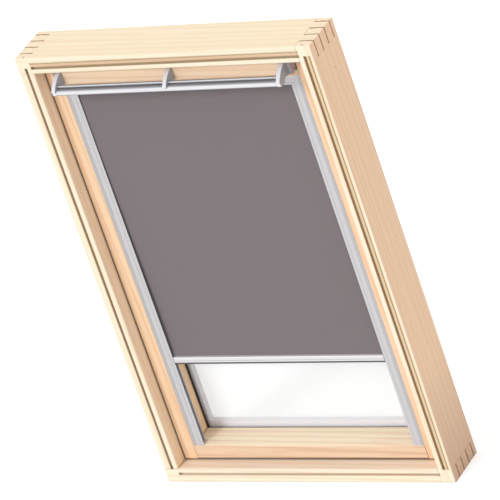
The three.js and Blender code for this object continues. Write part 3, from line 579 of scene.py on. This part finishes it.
def rubber(name):
    """Black sealing rubber with a dull, fine grain."""
    m = Nodes(bpy.data.materials.new(name))
    grain = m.noise(scale=700.0)
    tone = toned(m, grain, (38, 36, 34), (52, 49, 46))
    m.set(Base_Color=tone, Roughness=m.varied(base=0.7, value=grain, reach=0.15))
    m.bump(grain, strength=0.2, distance=0.1 * MM)
    return m.owner


def spacer_grey(name):
    """Pale coated strip between the panes."""
    m = Nodes(bpy.data.materials.new(name))
    grain = m.noise(scale=500.0)
    tone = toned(m, grain, (236, 233, 242), (244, 241, 249))
    m.set(Base_Color=tone, Roughness=m.varied(base=0.5, value=grain, reach=0.1))
    m.bump(grain, strength=0.15, distance=0.1 * MM)
    return m.owner


def felt(name):
    """Dark filter felt."""
    m = Nodes(bpy.data.materials.new(name))
    fuzz = m.noise(scale=900.0, detail=4.0, roughness=0.7)
    m.set(Base_Color=toned(m, fuzz, (48, 48, 50), (72, 72, 75)), Roughness=0.95)
    m.bump(fuzz, strength=0.5, distance=0.3 * MM)
    return m.owner


def glass(name):
    """Clear float glass: mostly see-through, with a sheen that grows towards grazing views."""
    m = Nodes(bpy.data.materials.new(name))
    edge = m.add("ShaderNodeFresnel", {"IOR": GLASS_IOR}).outputs["Fac"]
    m.set(Base_Color=(0.97, 0.99, 0.985, 1), Specular_IOR_Level=0.6)
    m.set(Alpha=m.calc("ADD", m.product(edge, GLASS_SHEEN), GLASS_LEAST, clamp=True))
    m.set(Roughness=m.product(m.noise(scale=4.0), GLASS_HAZE))
    return m.owner


def cloth(name, colour):
    """Coated blackout cloth with a fine plain weave."""
    m = Nodes(bpy.data.materials.new(name))
    turn = 2 * math.pi / WEAVE_PITCH
    place = m.axes()
    across = m.calc("SINE", m.product(place["X"], turn))
    down = m.calc("SINE", m.product(place["Z"], turn))
    slub = m.noise(scale=500.0, vector=m.place(SLUB_AXES))
    height = m.calc("ADD", m.product(across, down), slub)
    dark = srgb(*shifted(colour, -WEAVE_STEP))
    light = srgb(*shifted(colour, WEAVE_STEP))
    tone = m.ramp(m.product(height, WEAVE_CONTRAST), [(0.0, dark), (0.45, light)])
    m.set(Base_Color=tone, Roughness=0.9, Specular_IOR_Level=0.2, Sheen_Weight=0.1, Sheen_Roughness=0.6)
    m.bump(height, strength=0.2, distance=0.05 * MM)
    return m.owner


# Frame boards: node, grain, painted light and shade of the sides, figure, knots with their place and
# radius
BOARDS = (
    ("frame_head", "X", SIDES_HEAD, 0.3, [
        ((-0.35, 0.02, 1.178), 3 * MM),
        ((0.27, -0.03, 1.178), 2 * MM),
    ]),
    ("frame_sill", "X", SIDES_SILL, 0.4, []),
    ("frame_jamb_left", "Z", SIDES_LEFT, 0.3, []),
    ("frame_jamb_right", "Z", SIDES_HEAD, 0.3, [
        ((0.39, 0.015, 1.08), 4 * MM),
        ((0.39, 0.03, 1.06), 3 * MM),
        ((0.39, 0.036, 0.62), 2.5 * MM),
    ]),
)
# Sash pieces that keep the shape of their solids: node, grain, palette, painted light and shade of the
# sides, figure, marks (painted shade at the gap)
WOODS = (
    ("sash_stile_left", "Z", SASH_PINE, SIDES_EVEN, 0.4, stile_edge),
    ("sash_stile_right", "Z", SASH_PINE, SIDES_EVEN, 0.4, stile_edge),
    ("sash_bottom_rail", "X", RAIL_PINE, SIDES_RAIL, 0.3, rail_foot),
    ("sash_top_rail", "X", SASH_PINE, SIDES_EVEN, 0.4, None),
)
# First places in the grain of the frame boards and the sash, and those of the flap and the linings
BOARD_SEED = 1
SASH_SEED = 5
FLAP_SEED = 11
LINING_SEED = 21


def dress(piece, material, rounding):
    """Gives a piece its material and softens its edges."""
    piece.data.materials.clear()
    piece.data.materials.append(material)
    for polygon in piece.data.polygons:
        polygon.material_index = 0
    if rounding:
        bevel = piece.modifiers.new("edges", "BEVEL")
        bevel.width = rounding
        bevel.segments = 2
        bevel.limit_method = "ANGLE"
        bevel.angle_limit = ROUND_FROM


def drawn_in(piece):
    """Draws a piece in by a hair, so that its faces don't share a plane with the panes."""
    shrink = piece.modifiers.new("hair", "DISPLACE")
    shrink.mid_level = 0
    shrink.strength = -HAIR


def dress_nodes():
    """Gives the solids that stay in the scene their materials."""
    for seed, (node, axis, palette, sides, figure, marks) in enumerate(WOODS, SASH_SEED):
        wood = pine("pine_" + node, axis, seed, palette, sides, figure, extra=marks)
        dress(NODES[node], wood, WOOD_ROUND)
    metal_x = anodised("aluminium_across", LIGHT_METAL, "X")
    metal_z = anodised("aluminium_upright", LIGHT_METAL, "Z")
    channel = anodised("aluminium_channel", LIGHT_METAL, "Z", extra=lipped)
    low_metal = anodised("aluminium_low", BOTTOM_METAL, "X", extra=banded_foot)
    cap_grey = plastic("plastic_cap", CAP_PLASTIC, roughness=0.45, sides=SIDES_CAP)
    grey = plastic("plastic_grey", PLASTIC_GREY, roughness=0.42)
    kinds = (
        (("cassette_fascia", "cassette_housing", "roller_tube"), metal_x, 0),
        (("glazing_strip_bottom", "glazing_strip_top"), metal_x, METAL_ROUND),
        (("glazing_strip_left", "glazing_strip_right"), metal_z, METAL_ROUND),
        (("side_channel_",), channel, 0),
        (("flap_cap_",), cap_grey, METAL_ROUND),
        (("cassette_cap_", "bottom_bar_guide_", "pivot_bush_", "idle_plug", "spring_plug"), grey, 0),
        (("pivot_plate_", "flap_hinge_", "latch_", "spring_rod", "roller_spring"), steel("steel_zinc"), 0),
        (("weather_seal_", "glazing_gasket_", "flap_seal"), rubber("rubber_black"), 0),
        (("spacer_",), spacer_grey("spacer_grey"), 0),
        (("inner_pane", "outer_pane"), glass("clear_glass"), 0),
        (("fabric_winding",), cloth("cloth_wound", CLOTH_GREY), 0),
        (("vent_filter",), felt("filter_felt"), 0),
    )
    for names, material, rounding in kinds:
        for node in NODES:
            if node.startswith(names):
                dress(NODES[node], material, rounding)
    dress(NODES["bottom_bar"], low_metal, METAL_ROUND / 2)
    for node in NODES:
        if node.startswith("spacer_"):
            drawn_in(NODES[node])


def new_object(name, build):
    """Makes an object of a bmesh, with its faces turned outwards."""
    bmesh.ops.recalc_face_normals(build, faces=build.faces[:])
    mesh = bpy.data.meshes.new(name)
    build.to_mesh(mesh)
    build.free()
    piece = bpy.data.objects.new(name, mesh)
    bpy.context.scene.collection.objects.link(piece)
    return piece


ORDERS = {
    "X": lambda a, b, t: (t, a, b),
    "Z": lambda a, b, t: (a, b, t),
}


def prism(axis, points, start, end, name="cutter"):
    """An outline drawn in the two other axes and run along axis."""
    place = ORDERS[axis]
    build = bmesh.new()
    near = [build.verts.new(place(a, b, start)) for a, b in points]
    far = [build.verts.new(place(a, b, end)) for a, b in points]
    for i in range(len(points)):
        j = (i + 1) % len(points)
        build.faces.new((near[i], near[j], far[j], far[i]))
    build.faces.new(near)
    build.faces.new(far)
    return new_object(name, build)


def block(x, y, z, name="cutter"):
    """A box between pairs of places along the three axes."""
    return prism("Z", [(x[0], y[0]), (x[1], y[0]), (x[1], y[1]), (x[0], y[1])], z[0], z[1], name)


def carve(piece, cutters):
    """Cuts the cutters out of a piece and deletes them."""
    for cutter in cutters:
        cut = piece.modifiers.new("cut", "BOOLEAN")
        cut.operation = "DIFFERENCE"
        cut.solver = "EXACT"
        cut.object = cutter
    settled = piece.evaluated_get(bpy.context.evaluated_depsgraph_get())
    shape = bpy.data.meshes.new_from_object(settled)
    piece.modifiers.clear()
    piece.data = shape
    for cutter in cutters:
        bpy.data.objects.remove(cutter)


def groove_cutters():
    """Lining groove and quirk of all four boards, measured outwards from the opening."""
    cutters = []
    near = FRONT - OVERRUN
    ground = FRONT + GROOVE_DEPTH
    end_x = OUTER - CORNER_BLOCK
    runs = (
        ("Z", JAMB_LIP, lambda t, y: (-INNER - t, y), CORNER_BLOCK, TOP - HEAD_BLOCK, False),
        ("Z", JAMB_LIP, lambda t, y: (INNER + t, y), CORNER_BLOCK, TOP - HEAD_BLOCK, True),
        ("X", CROSS_LIP, lambda t, y: (y, SILL_TOP - t), -end_x, end_x, False),
        ("X", CROSS_LIP, lambda t, y: (y, HEAD_FOOT + t), -end_x, end_x, True),
    )
    for axis, lip, place, start, end, has_quirk in runs:
        edge = lip + GROOVE_WIDTH
        outlines = [((lip, near), (edge, near), (edge, ground), (lip, ground))]
        if has_quirk:
            quirk = edge + QUIRK_GAP
            rim = quirk + QUIRK_WIDTH
            outlines.append(((quirk, near), (rim, near), (rim, FRONT), (quirk, FRONT + QUIRK_DEPTH)))
        for outline in outlines:
            cutters.append(prism(axis, [place(t, y) for t, y in outline], start, end))
    return cutters


def opening_cutter():
    """The sloped edge round the opening on the room side."""
    build = bmesh.new()
    rings = []
    for y, out in ((FRONT - OPENING_EDGE, 2 * OPENING_EDGE), (FRONT + 2 * OPENING_EDGE, -OPENING_EDGE)):
        x = INNER + out
        low, high = SILL_TOP - out, HEAD_FOOT + out
        corners = ((-x, low), (x, low), (x, high), (-x, high))
        rings.append([build.verts.new((a, y, b)) for a, b in corners])
    for i in range(4):
        j = (i + 1) % 4
        build.faces.new((rings[0][i], rings[0][j], rings[1][j], rings[1][i]))
    for ring in rings:
        build.faces.new(ring)
    return new_object("cutter", build)


def finger_cutters(x, z, parity):
    """Slots for the crossing board's fingers; the parity says in which layers."""
    bounds = [FRONT + FIRST_FINGER + FINGER_PITCH * i for i in range(FINGER_COUNT - 1)]
    nears = [FRONT - OVERRUN] + [y - GLUE_LINE / 2 for y in bounds]
    fars = [y + GLUE_LINE / 2 for y in bounds] + [BACK + OVERRUN]
    return [block(x, (nears[i], fars[i]), z) for i in range(parity, FINGER_COUNT, 2)]


def plate_cutter(node, side):
    """Round-ended recess for a pivot plate in the inner face of a jamb."""
    low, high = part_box(node)
    middle = (low.y + high.y) / 2
    radius = (high.y - low.y) / 2 + RECESS_GAP
    straight = (high.z - low.z) / 2 - (high.y - low.y) / 2
    centre = (low.z + high.z) / 2
    points = []
    for i in range(PLATE_STEPS):
        turn = 2 * math.pi * i / PLATE_STEPS
        z = centre + math.copysign(straight, math.sin(turn + PLATE_NUDGE))
        points.append((middle + radius * math.cos(turn), z + radius * math.sin(turn)))
    depth = max(abs(low.x), abs(high.x)) + RECESS_GAP
    return prism("X", points, side * (INNER - OVERRUN), side * depth)


def keep_cutters():
    """Recess for the latch keep in the underside of the head, and the pocket behind it."""
    low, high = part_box("latch_keep")
    gap = RECESS_GAP
    foot = low.z - OVERRUN
    middle = low.y / 2 + high.y / 2
    depth = (middle - LATCH_POCKET, middle + LATCH_POCKET)
    return [
        block((low.x - gap, high.x + gap), (low.y - gap, high.y + gap), (foot, high.z + gap)),
        block((low.x / 2, high.x / 2), depth, (foot, high.z + LATCH_POCKET)),
    ]


def frame_board(node):
    """One board of the frame with its fingers, grooves and recesses."""
    cutters = groove_cutters() + [opening_cutter()]
    depth = (FRONT, BACK)
    beyond = (-OVERRUN, SILL_TOP + GLUE_LINE), (HEAD_FOOT - GLUE_LINE, TOP + OVERRUN)
    if "jamb" in node:
        side = -1 if "left" in node else 1
        piece = block(sorted((side * INNER, side * OUTER)), depth, (0, TOP), node + "_board")
        across = sorted((side * (INNER - OVERRUN), side * (OUTER + OVERRUN)))
        for z in beyond:
            cutters += finger_cutters(across, z, 0 if side < 0 else 1)
        cutters.append(plate_cutter(node.replace("frame_jamb", "pivot_plate"), side))
    else:
        z = (0, SILL_TOP) if "sill" in node else (HEAD_FOOT, TOP)
        piece = block((-OUTER, OUTER), depth, z, node + "_board")
        over = (z[0] - OVERRUN, z[1] + OVERRUN)
        cutters += finger_cutters((-OUTER - OVERRUN, -INNER + GLUE_LINE), over, 1)
        cutters += finger_cutters((INNER - GLUE_LINE, OUTER + OVERRUN), over, 0)
        if "head" in node:
            cutters += keep_cutters()
    carve(piece, cutters)
    return piece


def make_boards():
    """The four frame boards, in place of their solids."""
    for seed, (node, axis, sides, figure, knots) in enumerate(BOARDS, BOARD_SEED):
        piece = frame_board(node)
        wood = pine("pine_" + node, axis, seed, FRAME_PINE, sides, figure, knots, extra=board_marks)
        dress(piece, wood, WOOD_ROUND)
        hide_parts(node)
        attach(piece, "frame")


# Steps of a curve, and the rounding of the flap at its room side and at its heel
CURVE_STEPS = 8
FLAP_EDGE = 3 * MM
FLAP_HEEL = 4.5 * MM


def curve(start, middle, end):
    """Points of a quadratic curve, without its first point."""
    points = []
    for i in range(1, CURVE_STEPS + 1):
        t = i / CURVE_STEPS
        points.append(tuple(
            (1 - t) ** 2 * a + 2 * t * (1 - t) * b + t ** 2 * c for a, b, c in zip(start, middle, end)
        ))
    return points


def make_flap():
    """The ventilation flap, brought down to the feet of its caps, its heel rounded about the pivot."""
    low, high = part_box("vent_flap_board")
    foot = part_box("flap_cap_left")[0].z
    points = [(high.y, high.z), (low.y + FLAP_EDGE, high.z)]
    points += curve((low.y + FLAP_EDGE, high.z), (low.y, high.z), (low.y, high.z - FLAP_EDGE))
    points.append((low.y, foot + FLAP_EDGE))
    points += curve((low.y, foot + FLAP_EDGE), (low.y, foot), (low.y + FLAP_EDGE, foot))
    heel_y = high.y - FLAP_HEEL
    heel_z = foot + FLAP_HEEL
    for i in range(CURVE_STEPS + 1):
        turn = math.pi / 2 * (i / CURVE_STEPS - 1)
        points.append((heel_y + FLAP_HEEL * math.cos(turn), heel_z + FLAP_HEEL * math.sin(turn)))
    piece = prism("X", points, low.x, high.x, "flap_board")
    wood = pine("pine_flap", "X", FLAP_SEED, FLAP_PINE, SIDES_EVEN, figure=0.4)
    dress(piece, wood, rounding=0)
    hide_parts("vent_flap_board")
    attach(piece, "flap")


# Control bar: heights from its foot, and depths from its back
BAR_DROP = 2.2 * MM
BAR_TOP = 20.5 * MM
BAR_RIM_FOOT = 17 * MM
BAR_GRIP_TOP = 14.5 * MM
BAR_NOSE = 4 * MM
BAR_RIM_DEPTH = 5 * MM
BAR_WEB = 3 * MM
BAR_LEDGE = 6 * MM
BAR_SOLE = 9 * MM

# Painted shade on the control bar: in its groove, and over its grip from the foot to the top
GROOVE_SHADE = (0.6, 0.6, 0.62, 1)
GROOVE_SHADE_SHARE = 0.9
GROOVE_BLUR = 0.2 * MM
GRIP_SHADE = (0.6, 0.59, 0.61, 1)
GRIP_SHADING = (
    (0.0, GRIP_SHADE), (0.2, GRIP_SHADE), (0.36, WHITE), (0.55, WHITE), (0.98, GRIP_SHADE), (1.0, WHITE),
)

# Arms of the control bar: widths at nose and root, each side's share in the middle arm's spread,
# and how far the bar's ends run into the outer arms
ARM_WIDTH = 9.5 * MM
ARM_ROOT_WIDTH = 12 * MM
ARM_MIDDLE_SHARE = 0.25
ARM_LAP = 3 * MM

# Side of an arm: foot and reach of its front strip, bend of the crown, and the lip under the strip
ARM_STRIP_FOOT = 11.5 * MM
ARM_STRIP_REACH = 3.2 * MM
ARM_CROWN_DEPTH = 5 * MM
ARM_CROWN_HEIGHT = 33 * MM
ARM_LIP_DEPTH = 1 * MM
ARM_LIP_DROP = 1.5 * MM
ARM_END_DROP = 2 * MM
ARM_GROW = 0.4 * MM

# Part of the middle arm inside the bar, and the hollow under every arm
ARM_CORE_DEPTH = 6 * MM
ARM_CORE_FOOT = 3 * MM
ARM_HOLLOW = 6 * MM


def bar_section(grow):
    """Section of the control bar in depth and height: web, rim bead and rounded grip."""
    low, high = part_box("control_bar")
    foot = low.z - BAR_DROP
    back = high.y + grow
    front = low.y - grow
    ledge = (back - BAR_LEDGE, foot + BAR_GRIP_TOP + grow)
    nose = (front, foot + BAR_NOSE)
    points = [(back, foot + BAR_TOP), (back - BAR_RIM_DEPTH, foot + BAR_TOP)]
    points += [(back - BAR_RIM_DEPTH, foot + BAR_RIM_FOOT), (back - BAR_WEB, foot + BAR_RIM_FOOT)]
    points += [(back - BAR_WEB, ledge[1]), ledge]
    points += curve(ledge, (front, ledge[1]), nose)
    points += curve(nose, (front, foot - grow), (back - BAR_SOLE, foot - grow))
    points.append((back, foot - grow))
    return points


def grooved(m, colour):
    """Paints shade in the groove between the rim and the grip of the control bar, and over the grip's
    flanks.
    """
    height = m.axes()["Z"]
    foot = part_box("control_bar")[0].z - BAR_DROP
    half = (BAR_RIM_FOOT - BAR_GRIP_TOP) / 2
    inside = m.near(height, foot + BAR_GRIP_TOP + half, half + GROOVE_BLUR)
    colour = m.tint(colour, GROOVE_SHADE, m.product(inside, GROOVE_SHADE_SHARE))
    rise = m.calc("DIVIDE", m.calc("SUBTRACT", height, foot), BAR_GRIP_TOP)
    return m.tint(colour, m.ramp(rise, GRIP_SHADING))


def make_bar():
    """The control bar, smooth along its rounded grip."""
    low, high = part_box("control_bar")
    inset = ARM_WIDTH - ARM_LAP
    piece = prism("X", bar_section(0), low.x + inset, high.x - inset, "grip_bar")
    metal = anodised("aluminium_bar", BAR_METAL, "X", sides=SIDES_BAR, extra=grooved)
    dress(piece, metal, rounding=0)
    for polygon in piece.data.polygons:
        polygon.use_smooth = True
    piece.data.set_sharp_from_angle(angle=CREASE_FROM)
    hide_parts("control_bar")
    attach(piece, "flap")


def arm_outline(is_end):
    """Side of an arm: crown, front strip, and the bar's end or a part hidden in the bar."""
    arm_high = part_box("bar_arm_left")[1]
    bar_low, bar_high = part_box("control_bar")
    crown = (arm_high.y, arm_high.z)
    foot = bar_low.z - BAR_DROP
    tip = (bar_low.y - ARM_STRIP_REACH, foot + ARM_STRIP_FOOT)
    lip = tip[1] - ARM_LIP_DROP
    points = [crown]
    points += curve(crown, (bar_high.y - ARM_CROWN_DEPTH, foot + ARM_CROWN_HEIGHT), tip)
    points.append((tip[0] + ARM_LIP_DEPTH, lip))
    if is_end:
        top = tip[1] - ARM_END_DROP
        ledge = bar_high.y - BAR_LEDGE
        points += [(y, z) for y, z in bar_section(ARM_GROW) if z < top and y < ledge]
        points.append((bar_high.y, foot - ARM_GROW))
    else:
        inside = bar_low.y + ARM_CORE_DEPTH
        core = foot + ARM_CORE_FOOT
        points += [(inside, lip), (inside, core), (bar_high.y, core)]
    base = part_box("flap_cap_left")[0].z
    points += curve(points[-1], (bar_high.y + ARM_HOLLOW, base + ARM_HOLLOW), (crown[0], base))
    return points


def make_arm(node, middle, side):
    """One arm, drawn in a little from its root to its nose."""
    outline = arm_outline(side != 0)
    half = ARM_WIDTH / 2
    piece = prism("X", outline, middle - half, middle + half, node + "_shaped")
    depths = [y for y, _ in outline]
    root = max(depths)
    reach = root - min(depths)
    for vertex in piece.data.vertices:
        share = 1 - (root - vertex.co.y) / reach
        spread = (ARM_ROOT_WIDTH - ARM_WIDTH) * share
        if side == 0:
            vertex.co.x += math.copysign(spread * ARM_MIDDLE_SHARE, vertex.co.x - middle)
        elif (vertex.co.x - middle) * side < 0:
            vertex.co.x -= side * spread
    return piece


def make_arms():
    """The three arms that carry the control bar."""
    surface = plastic("plastic_arm", ARM_PLASTIC, roughness=0.38, sides=SIDES_ARM)
    for node, side in (("bar_arm_left", -1), ("bar_arm_middle", 0), ("bar_arm_right", 1)):
        low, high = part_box(node)
        piece = make_arm(node, (low.x + high.x) / 2, side)
        dress(piece, surface, METAL_ROUND)
        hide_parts(node)
        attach(piece, "flap")


# Inner lining of the sash uprights behind the blind's channels, and the seal that shows beyond it
REBATE_REACH = 5.4 * MM
REBATE_TOP = 1050 * MM
LINING_GAP = 0.2 * MM
CHANNEL_GAP = 0.4 * MM
GASKET_SHOW = 4.5 * MM


def upright(name, node, side, edge, depth, height):
    """An upright strip from the outer side of a node to an inner edge."""
    low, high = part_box(node)
    outer = high.x if side > 0 else low.x
    return block(sorted((outer, edge)), depth, height, name)


def make_uprights():
    """Pine lining and wider gasket on the inner side of both sash uprights."""
    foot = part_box("sash_bottom_rail")[1].z + LINING_GAP
    for word, side in (("left", -1), ("right", 1)):
        low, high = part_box("side_channel_" + word)
        gasket_low, gasket_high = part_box("glazing_gasket_" + word)
        edge = (high.x if side > 0 else low.x) - side * REBATE_REACH
        depth = (high.y + CHANNEL_GAP, gasket_low.y - LINING_GAP)
        wood = upright(
            "stile_rebate_" + word, "side_channel_" + word, side, edge, depth, (foot, REBATE_TOP),
        )
        surface = pine("pine_rebate_" + word, "Z", LINING_SEED + side, RAIL_PINE, SIDES_REBATE)
        dress(wood, surface, WOOD_ROUND / 3)
        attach(wood, "sash")
        gasket = upright(
            "gasket_lip_" + word, "glazing_gasket_" + word, side, edge - side * GASKET_SHOW,
            (gasket_low.y, gasket_high.y), (gasket_low.z, gasket_high.z),
        )
        dress(gasket, rubber("rubber_lip_" + word), rounding=0)
        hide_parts("glazing_gasket_" + word)
        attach(gasket, "sash")


# Cloth: rows and columns of the sheet, and the reach that sets how far its bow leans out of its plane
FABRIC_ROWS = 90
FABRIC_COLUMNS = 40
SWAY_REACH = 30 * MM


def make_fabric():
    """The hanging cloth: a thin closed sheet from the bottom bar to the roller.

    Each row stands a little out of the sheet's plane, by the gap between the row's height and the even
    share of a soft step, which gives the sheet a slight bow.
    """
    low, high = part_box("blind_fabric")
    mesh = bpy.data.meshes.new("blind_cloth")
    piece = bpy.data.objects.new("blind_cloth", mesh)
    bpy.context.scene.collection.objects.link(piece)
    build = bmesh.new()
    middle = (low.y + high.y) / 2
    length = high.z - low.z
    rise = (length - math.sqrt(length ** 2 - 4 * SWAY_REACH ** 2)) / 2
    grid = []
    for row in range(FABRIC_ROWS + 1):
        down = 1 - row / FABRIC_ROWS
        z = high.z - length * down
        even = 0.5 - math.sin(math.asin(1 - 2 * down) / 3)
        y = middle - (even - down) * length * rise / SWAY_REACH
        grid.append([
            build.verts.new((low.x + (high.x - low.x) * column / FABRIC_COLUMNS, y, z))
            for column in range(FABRIC_COLUMNS + 1)
        ])
    for lower, upper in zip(grid, grid[1:]):
        for i in range(FABRIC_COLUMNS):
            build.faces.new((lower[i], lower[i + 1], upper[i + 1], upper[i]))
    build.to_mesh(mesh)
    build.free()
    thick = piece.modifiers.new("thickness", "SOLIDIFY")
    thick.thickness = (high.y - low.y) / 2
    thick.offset = 0
    bpy.context.view_layer.objects.active = piece
    piece.select_set(True)
    bpy.ops.object.modifier_apply(modifier="thickness")
    piece.select_set(False)
    mesh.materials.append(cloth("cloth_hanging", CLOTH_GREY))
    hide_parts("blind_fabric")
    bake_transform(piece)


def make_floor():
    """A wide pale floor that stays white to the camera and keeps the object's shadow."""
    bpy.ops.mesh.primitive_plane_add(size=FLOOR_SIZE, location=(0, 0, -FLOOR_DROP))
    floor = bpy.context.object
    floor.name = "floor"
    m = Nodes(bpy.data.materials.new("floor_white"))
    m.set(Base_Color=FLOOR_COLOUR, Roughness=0.9, Specular_IOR_Level=0.0)
    strength = m.product(m.seen(), FLOOR_GLOW)
    glow = m.add("ShaderNodeEmission", {"Color": WHITE, "Strength": strength})
    m.end(m.add("ShaderNodeAddShader", {0: m.shader.outputs[0], 1: glow.outputs[0]}))
    floor.data.materials.append(m.owner)


def make_world():
    """An even, pale light that is white where the camera sees it."""
    world = bpy.data.worlds.new("studio")
    bpy.context.scene.world = world
    m = Nodes(world)
    dim = m.add("ShaderNodeBackground", {"Color": WHITE, "Strength": WORLD_LIGHT})
    white = m.add("ShaderNodeBackground", {"Color": WHITE, "Strength": 1})
    m.end(m.add("ShaderNodeMixShader", {0: m.seen(), 1: dim.outputs[0], 2: white.outputs[0]}))


def make_light():
    """One broad key light from the upper left of the room; the world fills the rest."""
    lamp = bpy.data.lights.new("key", "SUN")
    lamp.energy = KEY_STRENGTH
    lamp.angle = KEY_SOFTNESS
    item = bpy.data.objects.new("key", lamp)
    bpy.context.scene.collection.objects.link(item)
    item.rotation_euler = (-KEY_TOWARDS).to_track_quat("-Z", "Y").to_euler()


def make_camera():
    """The photograph's camera, from its bearing, height and roll about the aim."""
    azimuth = math.radians(CAMERA_AZIMUTH)
    elevation = math.radians(CAMERA_ELEVATION)
    flat = math.cos(elevation)
    look = Vector((-math.sin(azimuth) * flat, math.cos(azimuth) * flat, -math.sin(elevation)))
    data = bpy.data.cameras.new("camera")
    data.lens = CAMERA_LENS
    data.sensor_width = CAMERA_SENSOR
    data.clip_end = CAMERA_SIGHT
    camera = bpy.data.objects.new("camera", data)
    bpy.context.scene.collection.objects.link(camera)
    turn = look.to_track_quat("-Z", "Y").to_matrix().to_4x4()
    roll = Matrix.Rotation(math.radians(CAMERA_ROLL), 4, "Z")
    camera.matrix_world = Matrix.Translation(CAMERA_AIM - look * CAMERA_DISTANCE) @ turn @ roll
    bpy.context.scene.camera = camera


bpy.context.scene.view_settings.view_transform = "Standard"
make_camera()
make_world()
make_light()
make_floor()
dress_nodes()
make_boards()
make_flap()
make_bar()
make_arms()
make_uprights()
make_fabric()
